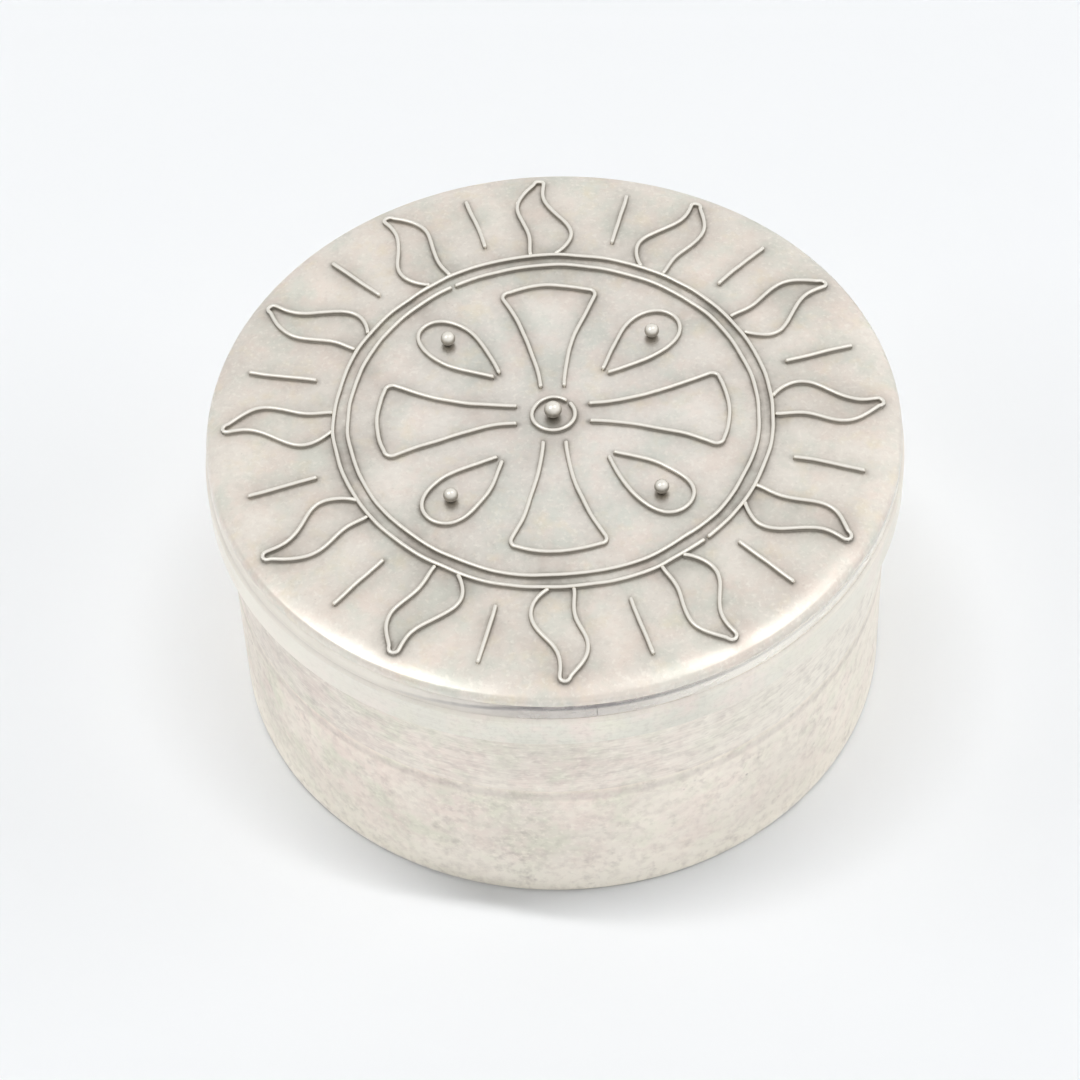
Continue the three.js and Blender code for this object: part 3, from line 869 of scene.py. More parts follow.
def band_material():
    """Smooth pale silver of the band. The paler left and right sides stand in for light."""
    colours = bpy.context.scene.oil_box_colours
    material, tree, shader, place = finish("band_finish")
    lines = noise(tree, place, 0.2 * MM, detail=3, rough=0.6, stretch=(20, 20, 1), seed=43.0)
    mottle = noise(tree, place, 0.6 * MM, detail=3, rough=0.7, seed=44.0)
    nicks = spots(tree, place, 3.0 * MM, 0.3 * MM, 0.3, seed=7.0)
    across, _, height = parts_of(tree, place)
    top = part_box("lid_band")[1].z
    cove = height.spread(top - 0.5 * MM, top)
    tint = layered(
        tree,
        patchy_silver(tree, place, colours.band_silver, seed=41.0),
        (lines.spread(0.5, 0.78) * 0.1, colours.pit_and_shade),
        (mottle.spread(0.48, 0.78) * 0.2, colours.pit_and_shade),
        (nicks * 0.3, colours.pit_and_shade),
        (across.spread(8 * MM, 28 * MM) * 0.5, colours.pale_specks_and_painted_light),
        (across.spread(-26 * MM, -6 * MM).inverse() * 0.7, colours.pale_specks_and_painted_light),
        (cove * 0.6, colours.strip_silver),
    )
    metal(tree, shader, tint, lines * 0.12 + cove * 0.15 + 0.32, lines - nicks, 0.008 * MM)
    return material


def strip_material():
    """Polished silver of the edge strip, with an uneven dark line of painted shade and reflection.

    The line follows the strip's top along the front, is weaker on the right, and sinks and fades
    out on the left. The paler left and right sides stand in for light.
    """
    colours = bpy.context.scene.oil_box_colours
    material, tree, shader, place = finish("strip_finish")
    patches = noise(tree, place, 3 * MM, detail=3, rough=0.6, seed=51.0)
    flecks = noise(tree, place, 0.4 * MM, detail=3, rough=0.7, stretch=(4, 4, 1), seed=53.0)
    across, _, height = parts_of(tree, place)
    left = across.spread(-17 * MM, -4 * MM).inverse()
    right = across.spread(6 * MM, 22 * MM)
    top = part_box("edge_strip")[1].z
    # The dark line laid here is painted shade and reflection.
    middle = (patches - 0.5) * 0.3 * MM + left * -1.25 * MM + top - 0.26 * MM
    line = (height - middle).math("ABSOLUTE").spread(0.08 * MM, 0.38 * MM).inverse()
    strength = (flecks.spread(0.3, 0.6) * 0.3 + patches * 0.5 + 0.25) * (right * 0.65).inverse()
    strength = strength * (left * -0.95 + 1)
    tint = layered(
        tree,
        mixed(tree, patches.spread(0.4, 0.7) * 0.2, colours.strip_silver, colours.pit_and_shade),
        (flecks.spread(0.5, 0.7) * 0.2, colours.solder),
        (across.spread(2 * MM, 18 * MM) * 0.9, colours.pale_specks_and_painted_light),
        (left * 0.75, colours.pale_specks_and_painted_light),
        ((line * strength).math("MINIMUM", 0.9), colours.solder),
    )
    roughness = patches * 0.12 + flecks * 0.1 + left * 0.3 + 0.16
    metal(tree, shader, tint, roughness, patches + flecks * 0.4, 0.03 * MM)
    return material


def bezel_material():
    """Bright silver of the bezel, with the upright rubs that the lid leaves."""
    colours = bpy.context.scene.oil_box_colours
    material, tree, shader, place = finish("bezel_finish")
    rubs = noise(tree, place, 0.25 * MM, detail=3, rough=0.65, stretch=(1, 1, 30), seed=61.0)
    tint = mixed(tree, rubs.spread(0.52, 0.75) * 0.4, colours.band_silver, colours.pit_and_shade)
    metal(tree, shader, tint, rubs * 0.25 + 0.12, rubs, 0.006 * MM)
    return material


def gilt_material():
    """Satin gilding, turned around, and paler where it has been handled."""
    colours = bpy.context.scene.oil_box_colours
    material, tree, shader, place = finish("gilt_finish")
    wear = noise(tree, place, 5 * MM, detail=4, rough=0.65, seed=71.0).spread(0.5, 0.75)
    grain = noise(tree, place, 0.3 * MM, detail=2, seed=73.0)
    lines = noise(tree, place, 0.16 * MM, detail=3, rough=0.7, stretch=(20, 20, 1), seed=75.0)
    tint = layered(
        tree,
        mixed(tree, wear * 0.45, colours.gilt, colours.gilt_pale),
        (lines.spread(0.5, 0.75) * 0.2, colours.pit_and_shade),
        (grain.spread(0.6, 0.8) * 0.25, colours.pit_and_shade),
    )
    metal(tree, shader, tint, grain * 0.1 + lines * 0.25 + 0.12, grain + lines, 0.006 * MM)
    return material


def cotton_material():
    """Raw cotton: white, matt and fibrous, with painted shade in the hollows between its clumps."""
    colours = bpy.context.scene.oil_box_colours
    material, tree, shader, place = finish("cotton_finish")
    clumps = noise(tree, place, 2.2 * MM, detail=5, rough=0.7, seed=81.0)
    strands = noise(tree, place, 0.25 * MM, detail=3, rough=0.7, stretch=(1, 8, 1), seed=83.0)
    # The hollows between the clumps are painted darker: painted shade.
    painted_hollow_shade = (0.86, 0.85, 0.8)
    shade = mixed(tree, clumps.spread(0.35, 0.7), painted_hollow_shade, WHITE)
    tint = times(tree, colours.cotton, shade)
    tree.links.new(tint.socket, shader.inputs["Base Color"])
    shader.inputs["Roughness"].default_value = 1.0
    shader.inputs["Sheen Weight"].default_value = 0.35
    relief(tree, shader, clumps * 0.6 + strands * 0.4, 0.25 * MM)
    return material


def material_named(name, make):
    """The material of that name, made on its first use."""
    return bpy.data.materials.get(name) or make()


# Layout of the applied wires


def roll_start(sizes):
    """Radius at which the lid plate begins to roll down."""
    plate_radius = turned_reach("lid_plate")
    slope = math.atan(2 * sizes.dome_rise / plate_radius + 2 * sizes.roll_drop / sizes.roll_width)
    return plate_radius - sizes.plate_edge * (1 - math.sin(slope)) - sizes.roll_width


def rim_top(sizes):
    """Height of the lid plate's top at the end of its roll."""
    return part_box("lid_plate")[0].z + sizes.plate


def plate_top(radius, sizes):
    """Height of the lid plate's top at a radius."""
    start = roll_start(sizes)
    roll = max(0.0, (radius - start) / sizes.roll_width)
    dome = ((start + sizes.roll_width) ** 2 - radius**2) / turned_reach("lid_plate") ** 2
    return rim_top(sizes) + sizes.dome_rise * dome + sizes.roll_drop * (1 - roll**2)


def flame_start(wires):
    """Distance of the flames' roots from the middle."""
    return turned_reach("lid_plate") - wires.rim_margin - wires.flame_length


def outer_circle(wires):
    """Radius of the outer wire circle."""
    return flame_start(wires) - wires.gauge / 2 - wires.end_gap


def inner_circle(wires):
    """Radius of the inner wire circle."""
    return outer_circle(wires) - wires.circle_spacing


def flame_outline(wires):
    """A flame: two waved sides that grow from the circle and meet in a bend at the tip."""
    touch = wires.end_gap + wires.gauge / 4
    root = flame_start(wires) - touch
    bend = flame_start(wires) + wires.flame_length - wires.flame_tip
    low_belly = 0.75

    def side(way):
        points = []
        for share in np.linspace(0, 1, 48, endpoint=False):
            half = wires.flame_root + (wires.flame_tip - wires.flame_root) * share
            swell = wires.flame_swell * math.sin(math.pi * share**low_belly)
            sway = wires.flame_sway * math.sin(2 * math.pi * share)
            points.append((root + (bend - root) * share, way * (half + swell) + sway))
        return points

    return side(1) + arc(bend, 0, wires.flame_tip, 90, -90, 16) + side(-1)[::-1]


def ray_outline(wires):
    """A straight ray between two flames."""
    start = outer_circle(wires) + wires.gauge / 2 + wires.ray_root_gap
    end = flame_start(wires) + wires.flame_length - wires.ray_tip_gap
    return [(start, 0.0), (end, 0.0)]


def cross_outline(wires):
    """One flared arm of the cross: out along one side, over the bowed end, and back."""
    arm_end = inner_circle(wires) - wires.cross_to_circle - wires.cross_bulge
    bend, hollow = wires.cross_corner, 1.7
    corner_u, corner_v = arm_end - bend, wires.cross_flare - bend
    run = corner_u - wires.cross_arm_start
    lean = math.atan(hollow * (corner_v - wires.cross_neck) / run)
    side_end_u = corner_u - bend * math.sin(lean)
    side_end_v = corner_v + bend * math.cos(lean)
    side = []
    for share in np.linspace(0, 1, 36, endpoint=False):
        v = wires.cross_neck + (side_end_v - wires.cross_neck) * share**hollow
        side.append((wires.cross_arm_start + (side_end_u - wires.cross_arm_start) * share, v))
    corner = arc(corner_u, corner_v, bend, 90 + math.degrees(lean), 0, 12)
    end = []
    for v in np.linspace(corner_v, -corner_v, 24)[1:-1]:
        end.append((arm_end + wires.cross_bulge * (1 - (v / corner_v) ** 2), v))
    half = side + corner
    return half + end + [(u, -v) for u, v in reversed(half)]


def drop_end(wires):
    """Distance of the drops' round ends from the middle."""
    return inner_circle(wires) - wires.drop_to_circle


def drop_outline(wires):
    """A drop, with its open point towards the middle of the lid."""
    fullness, widest = 1.3, 0.727
    breadth = wires.drop_width / 2 / widest
    point_half = wires.gauge / 2 + wires.drop_point_gap / 2
    opening = (point_half * 2**fullness / breadth) ** (1 / (1 + fullness))
    points = []
    for turn in np.linspace(opening, 2 * math.pi - opening, 80):
        share = (1 - math.cos(turn)) / 2
        v = breadth * math.sin(turn) * math.sin(turn / 2) ** fullness
        points.append((wires.drop_start + (drop_end(wires) - wires.drop_start) * share, v))
    return points


def circle_outline(radius, joint, wires):
    """A circle of wire, open by the small gap where its ends meet."""
    start, half_gap = math.degrees(joint), math.degrees(wires.end_gap / 2 / radius)
    return arc(0, 0, radius, start + half_gap, start + 360 - half_gap, 240)


def stations(outline, wires):
    """Points at even distances along an outline, closer together near its rounded ends."""
    points = np.array(outline)
    run = np.concatenate([[0], np.cumsum(np.linalg.norm(np.diff(points, axis=0), axis=1))])
    total = run[-1]
    end_shares = np.array([0, 0.05, 0.18, 0.4, 0.7, 1.0])
    ends = wires.gauge / 2 * end_shares
    count = max(2, round((total - 2 * ends[-1]) / STATION_STEP) + 1)
    middle = np.linspace(ends[-1], total - ends[-1], count)
    at = np.concatenate([ends[:-1], middle, total - ends[:-1][::-1]])
    return [(np.interp(a, run, points[:, 0]), np.interp(a, run, points[:, 1])) for a in at]


def wire_rise(wires):
    """How far the wire stands up: its round part on a thin bed of solder."""
    return wires.gauge * wires.round_share + wires.solder


def wire_section(wires):
    """Round wire on its bed of solder, which is as wide as the gauge, open side down."""
    bed, radius = wires.gauge / 2, wires.gauge / 2 * wires.round_share
    flank, shoulder = radius * 0.3, 32
    left = [(-bed, -wires.solder), (-bed * 0.98, wires.solder / 2), (-radius, flank)]
    top = arc(0, wires.solder + radius, radius, 180 + shoulder, -shoulder, 12)
    right = [(-x, y) for x, y in reversed(left)]
    return left + top + right


# Operators


class OILBOX_OT_camera(bpy.types.Operator):
    """Sets the camera at the photograph's viewpoint"""

    bl_idname = "oilbox.camera"
    bl_label = "Camera"

    def execute(self, context):
        studio = context.scene.oil_box_studio
        back = Vector((0, -math.cos(studio.elevation), math.sin(studio.elevation)))
        right = Vector((1, 0, 0))
        up = right.cross(-back)
        ahead = (
            -back * math.cos(studio.pan) * math.cos(studio.tilt)
            + right * math.sin(studio.pan) * math.cos(studio.tilt)
            + up * math.sin(studio.tilt)
        )
        side = ahead.cross(up).normalized()
        top = side.cross(ahead)
        side, top = (
            side * math.cos(studio.roll) + top * math.sin(studio.roll),
            top * math.cos(studio.roll) - side * math.sin(studio.roll),
        )
        data = bpy.data.cameras.new("camera")
        data.lens = studio.focal
        data.sensor_width = 36
        data.clip_start, data.clip_end = 0.01, 20
        camera = added("camera", data)
        camera.matrix_world = Matrix.LocRotScale(
            back * studio.distance, Matrix((side, top, -ahead)).transposed(), None
        )
        context.scene.camera = camera
        return {"FINISHED"}


class OILBOX_OT_wall(bpy.types.Operator):
    """Makes the body's wall"""

    bl_idname = "oilbox.wall"
    bl_label = "Body Wall"

    def execute(self, context):
        sizes = context.scene.oil_box_turned
        outer, top = turned_reach("body_wall"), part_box("body_wall")[1].z
        inner, foot, lip = outer - sizes.wall, sizes.foot_rounding, sizes.seam_rounding
        section = [
            (inner, 0),
            *arc(outer - foot, foot, foot, -90, 0, 10),
            *arc(outer - lip, top - lip, lip, 0, 90, 5),
            (inner, top),
        ]
        wall = turned_piece(
            "wall", section, material_named("wall_finish", wall_material), steps=288, seed=1
        )
        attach(wall, "box")
        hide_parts("body_wall")
        return {"FINISHED"}


class OILBOX_OT_base(bpy.types.Operator):
    """Makes the base plate that closes the wall's foot"""

    bl_idname = "oilbox.base"
    bl_label = "Base Plate"

    def execute(self, context):
        radius, top = turned_reach("base_plate"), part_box("base_plate")[1].z
        corner = 0.15 * MM
        section = [
            (0, 0),
            *arc(radius - corner, corner, corner, -90, 0, 4),
            *arc(radius - corner, top - corner, corner, 0, 90, 4),
            (0, top),
        ]
        base = turned_piece(
            "base", section, material_named("wall_finish", wall_material), closed=False, uneven=0
        )
        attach(base, "box")
        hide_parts("base_plate")
        return {"FINISHED"}


class OILBOX_OT_bezel(bpy.types.Operator):
    """Makes the bezel that the lid slides over"""

    bl_idname = "oilbox.bezel"
    bl_label = "Bezel"

    def execute(self, context):
        sizes = context.scene.oil_box_turned
        low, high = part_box("inner_bezel")
        outer, inner, lead = high.x, high.x - sizes.bezel, sizes.bezel / 2
        section = [
            (inner, low.z),
            (outer, low.z),
            *arc(outer - lead, high.z - lead, lead, 0, 90, 8),
            *arc(inner + lead / 2, high.z - lead / 2, lead / 2, 90, 180, 5),
        ]
        bezel = turned_piece(
            "bezel", section, material_named("bezel_finish", bezel_material), seed=5
        )
        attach(bezel, "box")
        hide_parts("inner_bezel")
        return {"FINISHED"}


class OILBOX_OT_liner(bpy.types.Operator):
    """Makes the gilt liner with its turned-out rim"""

    bl_idname = "oilbox.liner"
    bl_label = "Liner"

    def execute(self, context):
        sizes = context.scene.oil_box_turned
        low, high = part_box("liner")
        fit = 0.35 * MM
        outer = turned_reach("inner_bezel") - sizes.bezel - fit
        inner = outer - sizes.liner
        corner, inner_corner = sizes.liner_corner, sizes.liner_corner - sizes.liner
        half_rim = sizes.liner_rim / 2
        throat = 0.25 * MM
        section = [
            (0, low.z),
            *arc(outer - corner, low.z + corner, corner, -90, 0, 12),
            (outer, high.z - sizes.liner_rim),
            *arc(high.x - half_rim, high.z - half_rim, half_rim, -90, 90, 12),
            *arc(inner + throat, high.z - throat, throat, 90, 180, 6),
            *arc(inner - inner_corner, low.z + corner, inner_corner, 0, -90, 12),
            (0, low.z + sizes.liner),
        ]
        liner = turned_piece(
            "liner_cup", section, material_named("gilt_finish", gilt_material), closed=False, seed=7
        )
        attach(liner, "liner")
        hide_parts("liner")
        return {"FINISHED"}


class OILBOX_OT_cotton(bpy.types.Operator):
    """Makes the cotton wad and its loose fibres"""

    bl_idname = "oilbox.cotton"
    bl_label = "Cotton"

    def execute(self, context):
        low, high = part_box("cotton_wad")
        radius, corner = high.x, 3 * MM
        crown, sag = 3.5 * MM, 0.6 * MM
        edge = high.z - crown
        section = [
            (0, low.z),
            *arc(radius - corner, low.z + corner, corner, -90, 0, 8),
            *arc(radius - corner, edge - corner, corner, 0, 60, 8),
        ]
        shoulder_radius, shoulder = section[-1]
        for share in np.linspace(0, 1, 60)[1:]:
            rise = (high.z - sag - shoulder) * math.sin(share * math.pi / 2)
            section.append((shoulder_radius * (1 - share), shoulder + rise))
        material = material_named("cotton_finish", cotton_material)
        wad = turned_piece("cotton", section, material, closed=False, steps=200, uneven=0)
        self.fluff(wad.data, low, high)
        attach(wad, "liner")
        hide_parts("cotton_wad")
        ground = added("fibre_ground", wad.data.copy())
        settings = {
            "Density": 1.6e5,
            "Fibre Length": 4.5 * MM,
            "Fibre Radius": 0.018 * MM,
            "Seed": 3,
            "Material": material,
        }
        fibres = shaped(
            "cotton_fibres", ground, tree_named("Cotton fibres", fibre_tree), settings
        )
        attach(fibres, "liner")
        return {"FINISHED"}

    def fluff(self, mesh, low, high):
        """Presses soft lumps, folds and a hollow into the top of the wad."""
        lump_height, fold_depth, hollow_depth = 0.55 * MM, 0.5 * MM, 0.9 * MM
        lump_width, fold_width, hollow_width = 7 * MM, 4.5 * MM, 9 * MM
        for vertex in mesh.vertices:
            place = vertex.co
            share = min(1.0, max(0.0, (place.z - low.z) / (high.z - low.z) * 1.6 - 0.6))
            middle = math.exp(-((place.x**2 + place.y**2) / hollow_width**2))
            lumps = field.fractal(place / lump_width, 0.8, 2.1, 4)
            folds = abs(field.noise(place / fold_width + Vector((lumps, 0, 5)))) - 0.2
            rise = lumps * lump_height - folds * fold_depth - middle * hollow_depth
            vertex.co.z += share * rise


class OILBOX_OT_skirt(bpy.types.Operator):
    """Makes the lid's skirt"""

    bl_idname = "oilbox.skirt"
    bl_label = "Lid Skirt"

    def execute(self, context):
        sizes = context.scene.oil_box_turned
        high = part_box("lid_skirt")[1]
        outer, inner, lip = high.x, high.x - sizes.wall, sizes.skirt_lip
        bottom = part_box("body_wall")[1].z + sizes.seam_gap
        section = [
            *arc(inner + lip, bottom + lip, lip, 180, 270, 4),
            *arc(outer - lip, bottom + lip, lip, -90, 0, 5),
            (outer, high.z),
            (inner, high.z),
        ]
        skirt = turned_piece(
            "skirt", section, material_named("skirt_finish", skirt_material), steps=288, seed=9
        )
        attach(skirt, "lid")
        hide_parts("lid_skirt")
        return {"FINISHED"}


class OILBOX_OT_band(bpy.types.Operator):
    """Makes the plain band round the top of the skirt"""

    bl_idname = "oilbox.band"
    bl_label = "Lid Band"

    def execute(self, context):
        sizes = context.scene.oil_box_turned
        low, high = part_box("lid_band")
        inner, round_edge = turned_reach("lid_skirt"), sizes.band_rounding
        strip = turned_reach("edge_strip")
        shoulder = high.z - sizes.band_slope
        cove = []
        for share in np.linspace(0, 1, 13):
            ease = share * share * (3 - 2 * share)
            cove.append((high.x + (strip - high.x) * ease, shoulder + sizes.band_slope * share))
        section = [
            (inner, low.z),
            *arc(high.x - round_edge, low.z + round_edge, round_edge, -90, 0, 8),
            *cove,
            (inner, high.z),
        ]
        band = turned_piece(
            "band", section, material_named("band_finish", band_material), steps=288, seed=11
        )
        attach(band, "lid")
        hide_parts("lid_band")
        return {"FINISHED"}


class OILBOX_OT_strip(bpy.types.Operator):
    """Makes the edge strip, a bar bent round until its ends meet"""

    bl_idname = "oilbox.strip"
    bl_label = "Edge Strip"

    def execute(self, context):
        sizes = context.scene.oil_box_turned
        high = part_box("edge_strip")[1]
        outer = turned_reach("lid_plate")
        inner, round_edge = turned_reach("lid_skirt") - sizes.wall, sizes.strip_rounding
        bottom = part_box("lid_band")[1].z
        section = [
            (inner, bottom),
            (outer - sizes.strip_tuck / 3, bottom - sizes.strip_tuck),
            (outer, bottom),
            *arc(outer - round_edge, high.z - round_edge, round_edge, 0, 90, 8),
            (inner, high.z),
        ]
        strip = turned_piece(
            "strip",
            section,
            material_named("strip_finish", strip_material),
            steps=288,
            seed=13,
            uneven=sizes.strip_unevenness,
            joint=(sizes.strip_joint, sizes.strip_joint_angle),
        )
        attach(strip, "lid")
        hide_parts("edge_strip")
        return {"FINISHED"}


class OILBOX_OT_wires(bpy.types.Operator):
    """Bends and solders the wires of sunburst, circles, cross and drops"""

    bl_idname = "oilbox.wires"
    bl_label = "Applied Wires"

    def execute(self, context):
        sizes, wires = context.scene.oil_box_turned, context.scene.oil_box_wires
        flames, arms = wires.flames, 4
        circles = [
            circle_outline(outer_circle(wires), wires.outer_joint, wires),
            circle_outline(inner_circle(wires), wires.inner_joint, wires),
            circle_outline(wires.centre_ring, wires.centre_joint, wires),
        ]
        circle_nodes = ["outer_circle_wire", "inner_circle_wire", "centre_ring"]
        flame_nodes = [f"flame_wire_{i + 1:02d}" for i in range(flames)]
        ray_nodes = [f"ray_wire_{i + 1:02d}" for i in range(flames)]
        cross_nodes = [f"cross_wire_{i + 1}" for i in range(arms)]
        drop_nodes = [f"drop_wire_{i + 1}" for i in range(arms)]
        half_pitch = math.pi / flames
        groups = [
            ("flame_wires", [flame_outline(wires)], flames, 0.0, 1.0, 0.9, flame_nodes),
            ("ray_wires", [ray_outline(wires)], flames, half_pitch, 0.0, 1.2, ray_nodes),
            ("cross_wires", [cross_outline(wires)], arms, 0.0, 0.0, 0.0, cross_nodes),
            ("drop_wires", [drop_outline(wires)], arms, math.pi / arms, 0.0, 0.8, drop_nodes),
            ("circle_wires", circles, 1, 0.0, 0.0, 0.0, circle_nodes),
        ]
        section = drawn("wire_section", [hung(wire_section(wires))], closed=True)
        for seed, (name, outlines, count, first, mirror, scatter, nodes) in enumerate(groups):
            source = drawn(name + "_outline", [stations(outline, wires) for outline in outlines])
            settings = {
                "Section": section,
                "Count": count,
                "First Angle": first,
                "Mirror Every Other": mirror,
                "Angle Scatter": math.radians(scatter),
                "Wire Radius": wire_rise(wires) / 2,
                "Waver": wires.waver,
                "Waver Length": wires.waver_length,
                "Sunk": wires.sunk,
                "Rim Top": rim_top(sizes),
                "Plate Radius": turned_reach("lid_plate"),
                "Dome Rise": sizes.dome_rise,
                "Roll Drop": sizes.roll_drop,
                "Roll Start": roll_start(sizes),
                "Roll Width": sizes.roll_width,
                "Seed": seed,
                "Material": material_named("wire_finish", wire_material),
            }
            piece = shaped(name, source, tree_named("Soldered wire", wire_tree), settings)
            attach(piece, "lid")
            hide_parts(*nodes)
        bpy.data.objects.remove(section)
        return {"FINISHED"}


class OILBOX_OT_grains(bpy.types.Operator):
    """Sets the silver grains in the middle and in the drops"""

    bl_idname = "oilbox.grains"
    bl_label = "Grains"

    def execute(self, context):
        sizes, wires = context.scene.oil_box_turned, context.scene.oil_box_wires
        places = [(0.0, 0.0, wires.centre_grain)]
        reach = drop_end(wires) - wires.grain_from_top
        for x, y in arc(0, 0, reach, 45, 315, 3):
            places.append((x, y, wires.drop_grain))
        height_share = 0.97
        shape = bmesh.new()
        foot = shape.verts.layers.float.new("foot")
        for x, y, diameter in places:
            level = plate_top(math.hypot(x, y), sizes) - wires.sunk
            made = bmesh.ops.create_icosphere(shape, subdivisions=4, radius=diameter / 2)
            for vertex in made["verts"]:
                share = 0.5 + vertex.co.z / diameter
                narrowed = 1 - 0.12 * (1 - share) ** 4
                vertex[foot] = 1 - share
                vertex.co.x = x + vertex.co.x * narrowed
                vertex.co.y = y + vertex.co.y * narrowed
                vertex.co.z = level + share * height_share * diameter
        for face in shape.faces:
            face.smooth = True
        mesh = bpy.data.meshes.new("grains")
        shape.to_mesh(mesh)
        shape.free()
        mesh.materials.append(material_named("wire_finish", wire_material))
        grains = added("grains", mesh)
        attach(grains, "lid")
        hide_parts("centre_grain", *(f"drop_grain_{i + 1}" for i in range(4)))
        return {"FINISHED"}


WIRE_PIECES = ("flame_wires", "ray_wires", "cross_wires", "drop_wires", "circle_wires", "grains")


def vertex_places(mesh):
    """The places of a mesh's vertices, one row each."""
    places = np.zeros(len(mesh.vertices) * 3)
    mesh.vertices.foreach_get("co", places)
    return places.reshape(-1, 3)


def wire_tops(mesh):
    """Where the tops of the wires run, as (x, y)."""
    foot = np.zeros(len(mesh.vertices))
    mesh.attributes["foot"].data.foreach_get("value", foot)
    top_share = 0.03
    return vertex_places(mesh)[foot < top_share, :2]


def blurred(grid, reach):
    """A grid of numbers smoothed by a bell curve of that reach, in cells."""
    steps = np.arange(-int(3 * reach), int(3 * reach) + 1)
    bell = np.exp(-((steps / reach) ** 2) / 2)
    bell /= bell.sum()
    for axis in (0, 1):
        grid = np.apply_along_axis(np.convolve, axis, grid, bell, mode="same")
    return grid


class OILBOX_OT_plate(bpy.types.Operator):
    """Makes the domed lid plate, with tarnish beside the wires"""

    bl_idname = "oilbox.plate"
    bl_label = "Lid Plate"

    def execute(self, context):
        sizes = context.scene.oil_box_turned
        radius, bottom = turned_reach("lid_plate"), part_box("lid_plate")[0].z
        under_radius = turned_reach("lid_skirt") - sizes.wall
        edge, start = sizes.plate_edge, roll_start(sizes)
        end = start + sizes.roll_width
        slope = math.asin(1 - (radius - end) / edge)
        edge_level = rim_top(sizes) - edge * math.cos(slope)
        ring = 0.3 * MM
        under = [
            (r, plate_top(r, sizes) - sizes.plate) for r in np.linspace(0, under_radius - MM, 12)
        ]
        roll = [(r, plate_top(r, sizes)) for r in np.linspace(end, start, 16)[1:]]
        flat = [(r, plate_top(r, sizes)) for r in np.arange(start - ring, 0.2 * MM, -ring)]
        lip = sizes.plate_lip
        section = [
            *under,
            (under_radius, bottom),
            *arc(radius - lip, bottom + lip, lip, -90, 0, 4),
            *arc(radius - edge, edge_level, edge, 0, 90 - math.degrees(slope), 10),
            *roll,
            *flat,
            (0, plate_top(0, sizes)),
        ]
        plate = turned_piece(
            "plate",
            section,
            material_named("plate_finish", plate_material),
            closed=False,
            steps=560,
            seed=15,
        )
        self.tarnish(plate.data)
        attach(plate, "lid")
        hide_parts("lid_plate")
        return {"FINISHED"}

    def tarnish(self, mesh):
        """Stores how dark the plate is: darkest beside a wire and between close wires."""
        tops = np.concatenate([wire_tops(bpy.data.objects[name].data) for name in WIRE_PIECES])
        nearest = KDTree(len(tops))
        for i, (x, y) in enumerate(tops):
            nearest.insert((x, y, 0), i)
        nearest.balance()
        places = vertex_places(mesh)
        distance = np.array([nearest.find((x, y, 0))[2] for x, y, _ in places])
        line_width, crowd_width = 0.22 * MM, 1.2 * MM
        beside_share, crowd_share = 0.65, 0.3
        reach, cell = 38 * MM, 0.15 * MM
        beside = np.exp(-((distance / line_width) ** 2) / 2)
        edges = np.arange(-reach, reach, cell)
        laid = np.minimum(np.histogram2d(tops[:, 0], tops[:, 1], bins=(edges, edges))[0], 1)
        crowding = blurred(laid, crowd_width / cell) * crowd_width * STATION_STEP / cell**2
        column, row = (np.searchsorted(edges, places[:, axis]) - 1 for axis in (0, 1))
        dark = np.clip(beside * beside_share + crowding[column, row] * crowd_share, 0, 1)
        layer = mesh.attributes.new("tarnish", "FLOAT", "POINT")
        layer.data.foreach_set("value", dark)


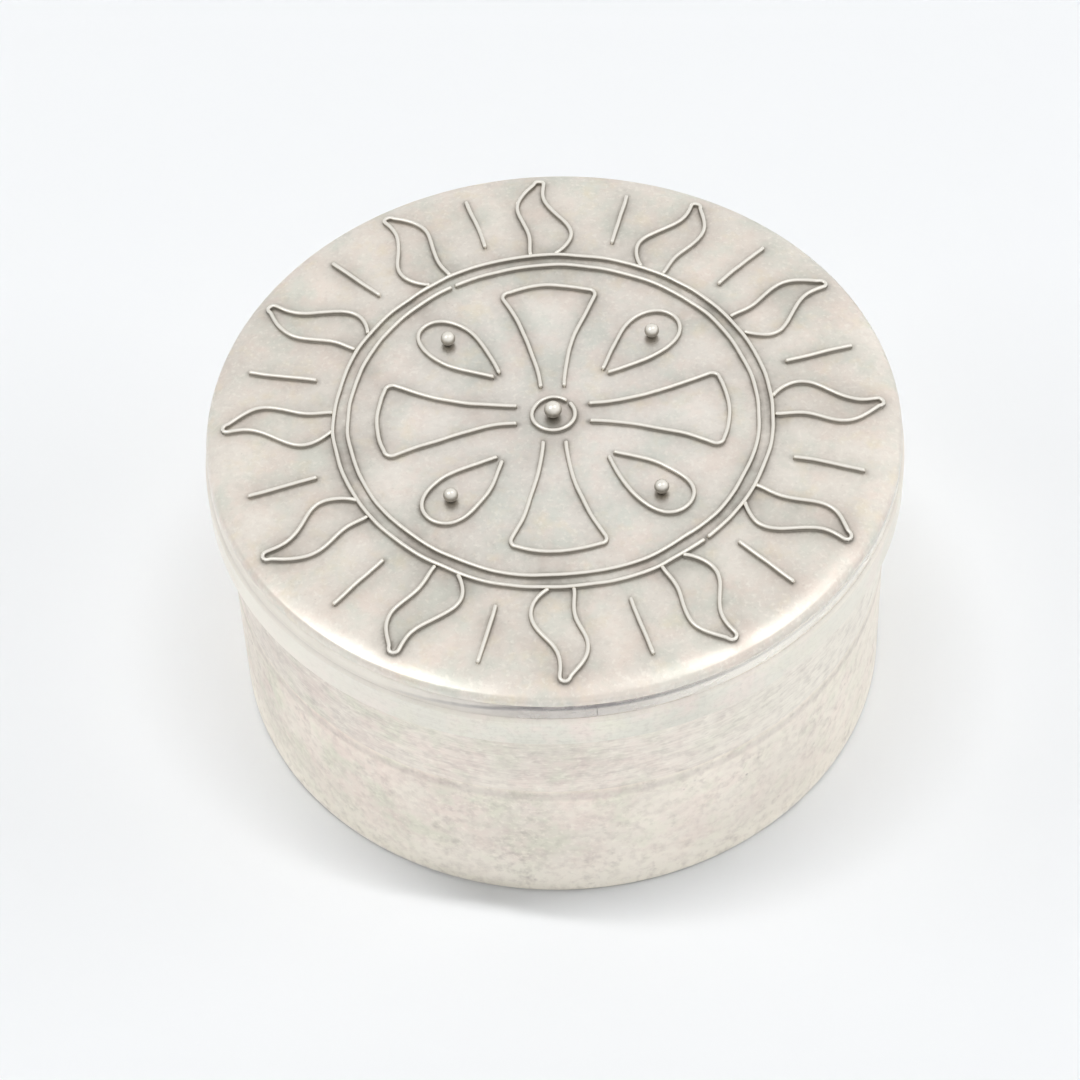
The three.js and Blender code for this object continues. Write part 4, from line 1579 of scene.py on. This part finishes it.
class OILBOX_OT_studio(bpy.types.Operator):
    """Lays the white surface and sets the room, the lamps and the white panels"""

    bl_idname = "oilbox.studio"
    bl_label = "Studio"

    def execute(self, context):
        self.surface(context)
        self.room(context)
        self.light_from_above()
        self.light_from_sides()
        self.light_off_the_wall()
        self.panel("left_panel", (-0.53, -0.08, 1.0), (0.42, 0.56))
        self.panel("right_panel", (0.42, 0.08, 1.0), (0.26, 0.4))
        context.scene.view_settings.view_transform = "Standard"
        return {"FINISHED"}

    def surface(self, context):
        """The white surface, just under the box."""
        colours = context.scene.oil_box_colours
        half, below = 3.0, -0.02 * MM
        mesh = bpy.data.meshes.new("surface")
        corners = [(half * x, half * y, below) for x, y in ((-1, -1), (1, -1), (1, 1), (-1, 1))]
        mesh.from_pydata(corners, [], [(0, 1, 2, 3)])
        surface = added("surface", mesh)
        material, _, shader, _ = finish("paper")
        shader.inputs["Base Color"].default_value = (*colours.paper, 1)
        shader.inputs["Roughness"].default_value = 0.9
        shader.inputs["Specular IOR Level"].default_value = 0.1
        mesh.materials.append(material)

    def room(self, context):
        """A white room: white to the camera, nearly so in metal, and dimmer as a light."""
        studio = context.scene.oil_box_studio
        world = bpy.data.worlds.new("room")
        world.use_nodes = True
        tree = world.node_tree
        background = tree.nodes["Background"]
        rays = tree.nodes.new("ShaderNodeLightPath")
        seen, mirrored = (Value(tree, rays.outputs[n]) for n in ("Is Camera Ray", "Is Glossy Ray"))
        mirrored = mirrored * Value(tree, rays.outputs["Diffuse Depth"]).math("LESS_THAN", 0.5)
        right, behind, _ = parts_of(tree, add(tree, "ShaderNodeTexCoord"))
        shed = (behind * studio.room_slope + 1) * studio.room
        in_metal = (right * studio.room_tilt + 1) * studio.room_in_metal
        strength = mirrored * in_metal + mirrored.inverse() * shed
        strength = seen.inverse() * strength + seen
        background.inputs["Color"].default_value = (1, 1, 1, 1)
        tree.links.new(strength.socket, background.inputs["Strength"])
        context.scene.world = world

    def lamp(self, name, place, size, energy):
        """A rectangular lamp that is aimed at the origin."""
        data = bpy.data.lights.new(name, "AREA")
        data.shape = "RECTANGLE"
        data.size, data.size_y = size
        data.energy = energy
        lamp = added(name, data)
        lamp.location = place
        lamp.rotation_euler = (-Vector(place)).to_track_quat("-Z", "Y").to_euler()
        return lamp

    def light_from_above(self):
        """A long lamp far above that draws the shadow along the foot; metal doesn't mirror it."""
        place, size, turn = (0.007, 0.03, 1.6), (1.1, 0.07), -13
        energy = bpy.context.scene.oil_box_studio.above * (math.pi * place[2]) ** 2
        lamp = self.lamp("light_from_above", place, size, energy)
        lamp.rotation_euler = (0, 0, math.radians(turn))
        lamp.visible_glossy = False

    def light_off_the_wall(self):
        """Two lamps whose light reaches the surface only by way of the silver wall."""
        across, height = 0.4, 1.6
        distance = math.hypot(across, height)
        energy = bpy.context.scene.oil_box_studio.off_wall * (math.pi * distance) ** 2
        for name, way in (("left_glow", -1), ("right_glow", 1)):
            lamp = self.lamp(name, (way * across, 0, height), (0.4, 0.3), energy)
            lamp.visible_diffuse = False
            self.gate(lamp, "GREATER_THAN")

    def light_from_sides(self):
        """A low lamp at each side, which draws a faint wide shadow on the other."""
        across, height = 1.5, 0.65
        distance = math.hypot(across, height)
        share = bpy.context.scene.oil_box_studio.sides
        energy = share * (math.pi * distance) ** 2 * distance / height
        for name, way in (("left_light", -1), ("right_light", 1)):
            lamp = self.lamp(name, (way * across, 0, height), (0.8, 0.5), energy)
            lamp.visible_glossy = False

    def gate(self, lamp, comparison):
        """Limits a lamp to light that has, or hasn't, left a matt surface before."""
        lamp.data.use_nodes = True
        tree = lamp.data.node_tree
        rays = tree.nodes.new("ShaderNodeLightPath")
        shines = Value(tree, rays.outputs["Diffuse Depth"]).math(comparison, 0.5)
        tree.links.new(shines.socket, tree.nodes["Emission"].inputs["Strength"])

    def panel(self, name, place, size):
        """A white panel that shows in metal and sheds no other light, as bright at any size."""
        energy = bpy.context.scene.oil_box_studio.panel * math.pi * size[0] * size[1]
        lamp = self.lamp(name, place, size, energy)
        lamp.visible_diffuse = False
        self.gate(lamp, "LESS_THAN")


STEPS = (
    OILBOX_OT_camera,
    OILBOX_OT_wall,
    OILBOX_OT_base,
    OILBOX_OT_bezel,
    OILBOX_OT_liner,
    OILBOX_OT_cotton,
    OILBOX_OT_skirt,
    OILBOX_OT_band,
    OILBOX_OT_strip,
    OILBOX_OT_wires,
    OILBOX_OT_grains,
    OILBOX_OT_plate,
    OILBOX_OT_studio,
)


class OILBOX_PT_panel(bpy.types.Panel):
    """Buttons for each piece of the box"""

    bl_idname = "OILBOX_PT_panel"
    bl_label = "Holy Oil Box"
    bl_space_type = "VIEW_3D"
    bl_region_type = "UI"
    bl_category = "Oil Box"

    def draw(self, context):
        for step in STEPS:
            self.layout.operator(step.bl_idname)


SETTINGS = {
    "oil_box_turned": TurnedSizes,
    "oil_box_wires": WireSizes,
    "oil_box_colours": Colours,
    "oil_box_studio": StudioSettings,
}


def register():
    for kind in (*SETTINGS.values(), *STEPS, OILBOX_PT_panel):
        bpy.utils.register_class(kind)
    for name, kind in SETTINGS.items():
        setattr(bpy.types.Scene, name, PointerProperty(type=kind))


def unregister():
    for name in SETTINGS:
        delattr(bpy.types.Scene, name)
    for kind in (OILBOX_PT_panel, *reversed(STEPS), *SETTINGS.values()):
        bpy.utils.unregister_class(kind)


def main():
    """Registers the classes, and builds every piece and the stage."""
    register()
    for step in STEPS:
        group, name = step.bl_idname.split(".")
        getattr(getattr(bpy.ops, group), name)()


if __name__ == "__main__":
    main()
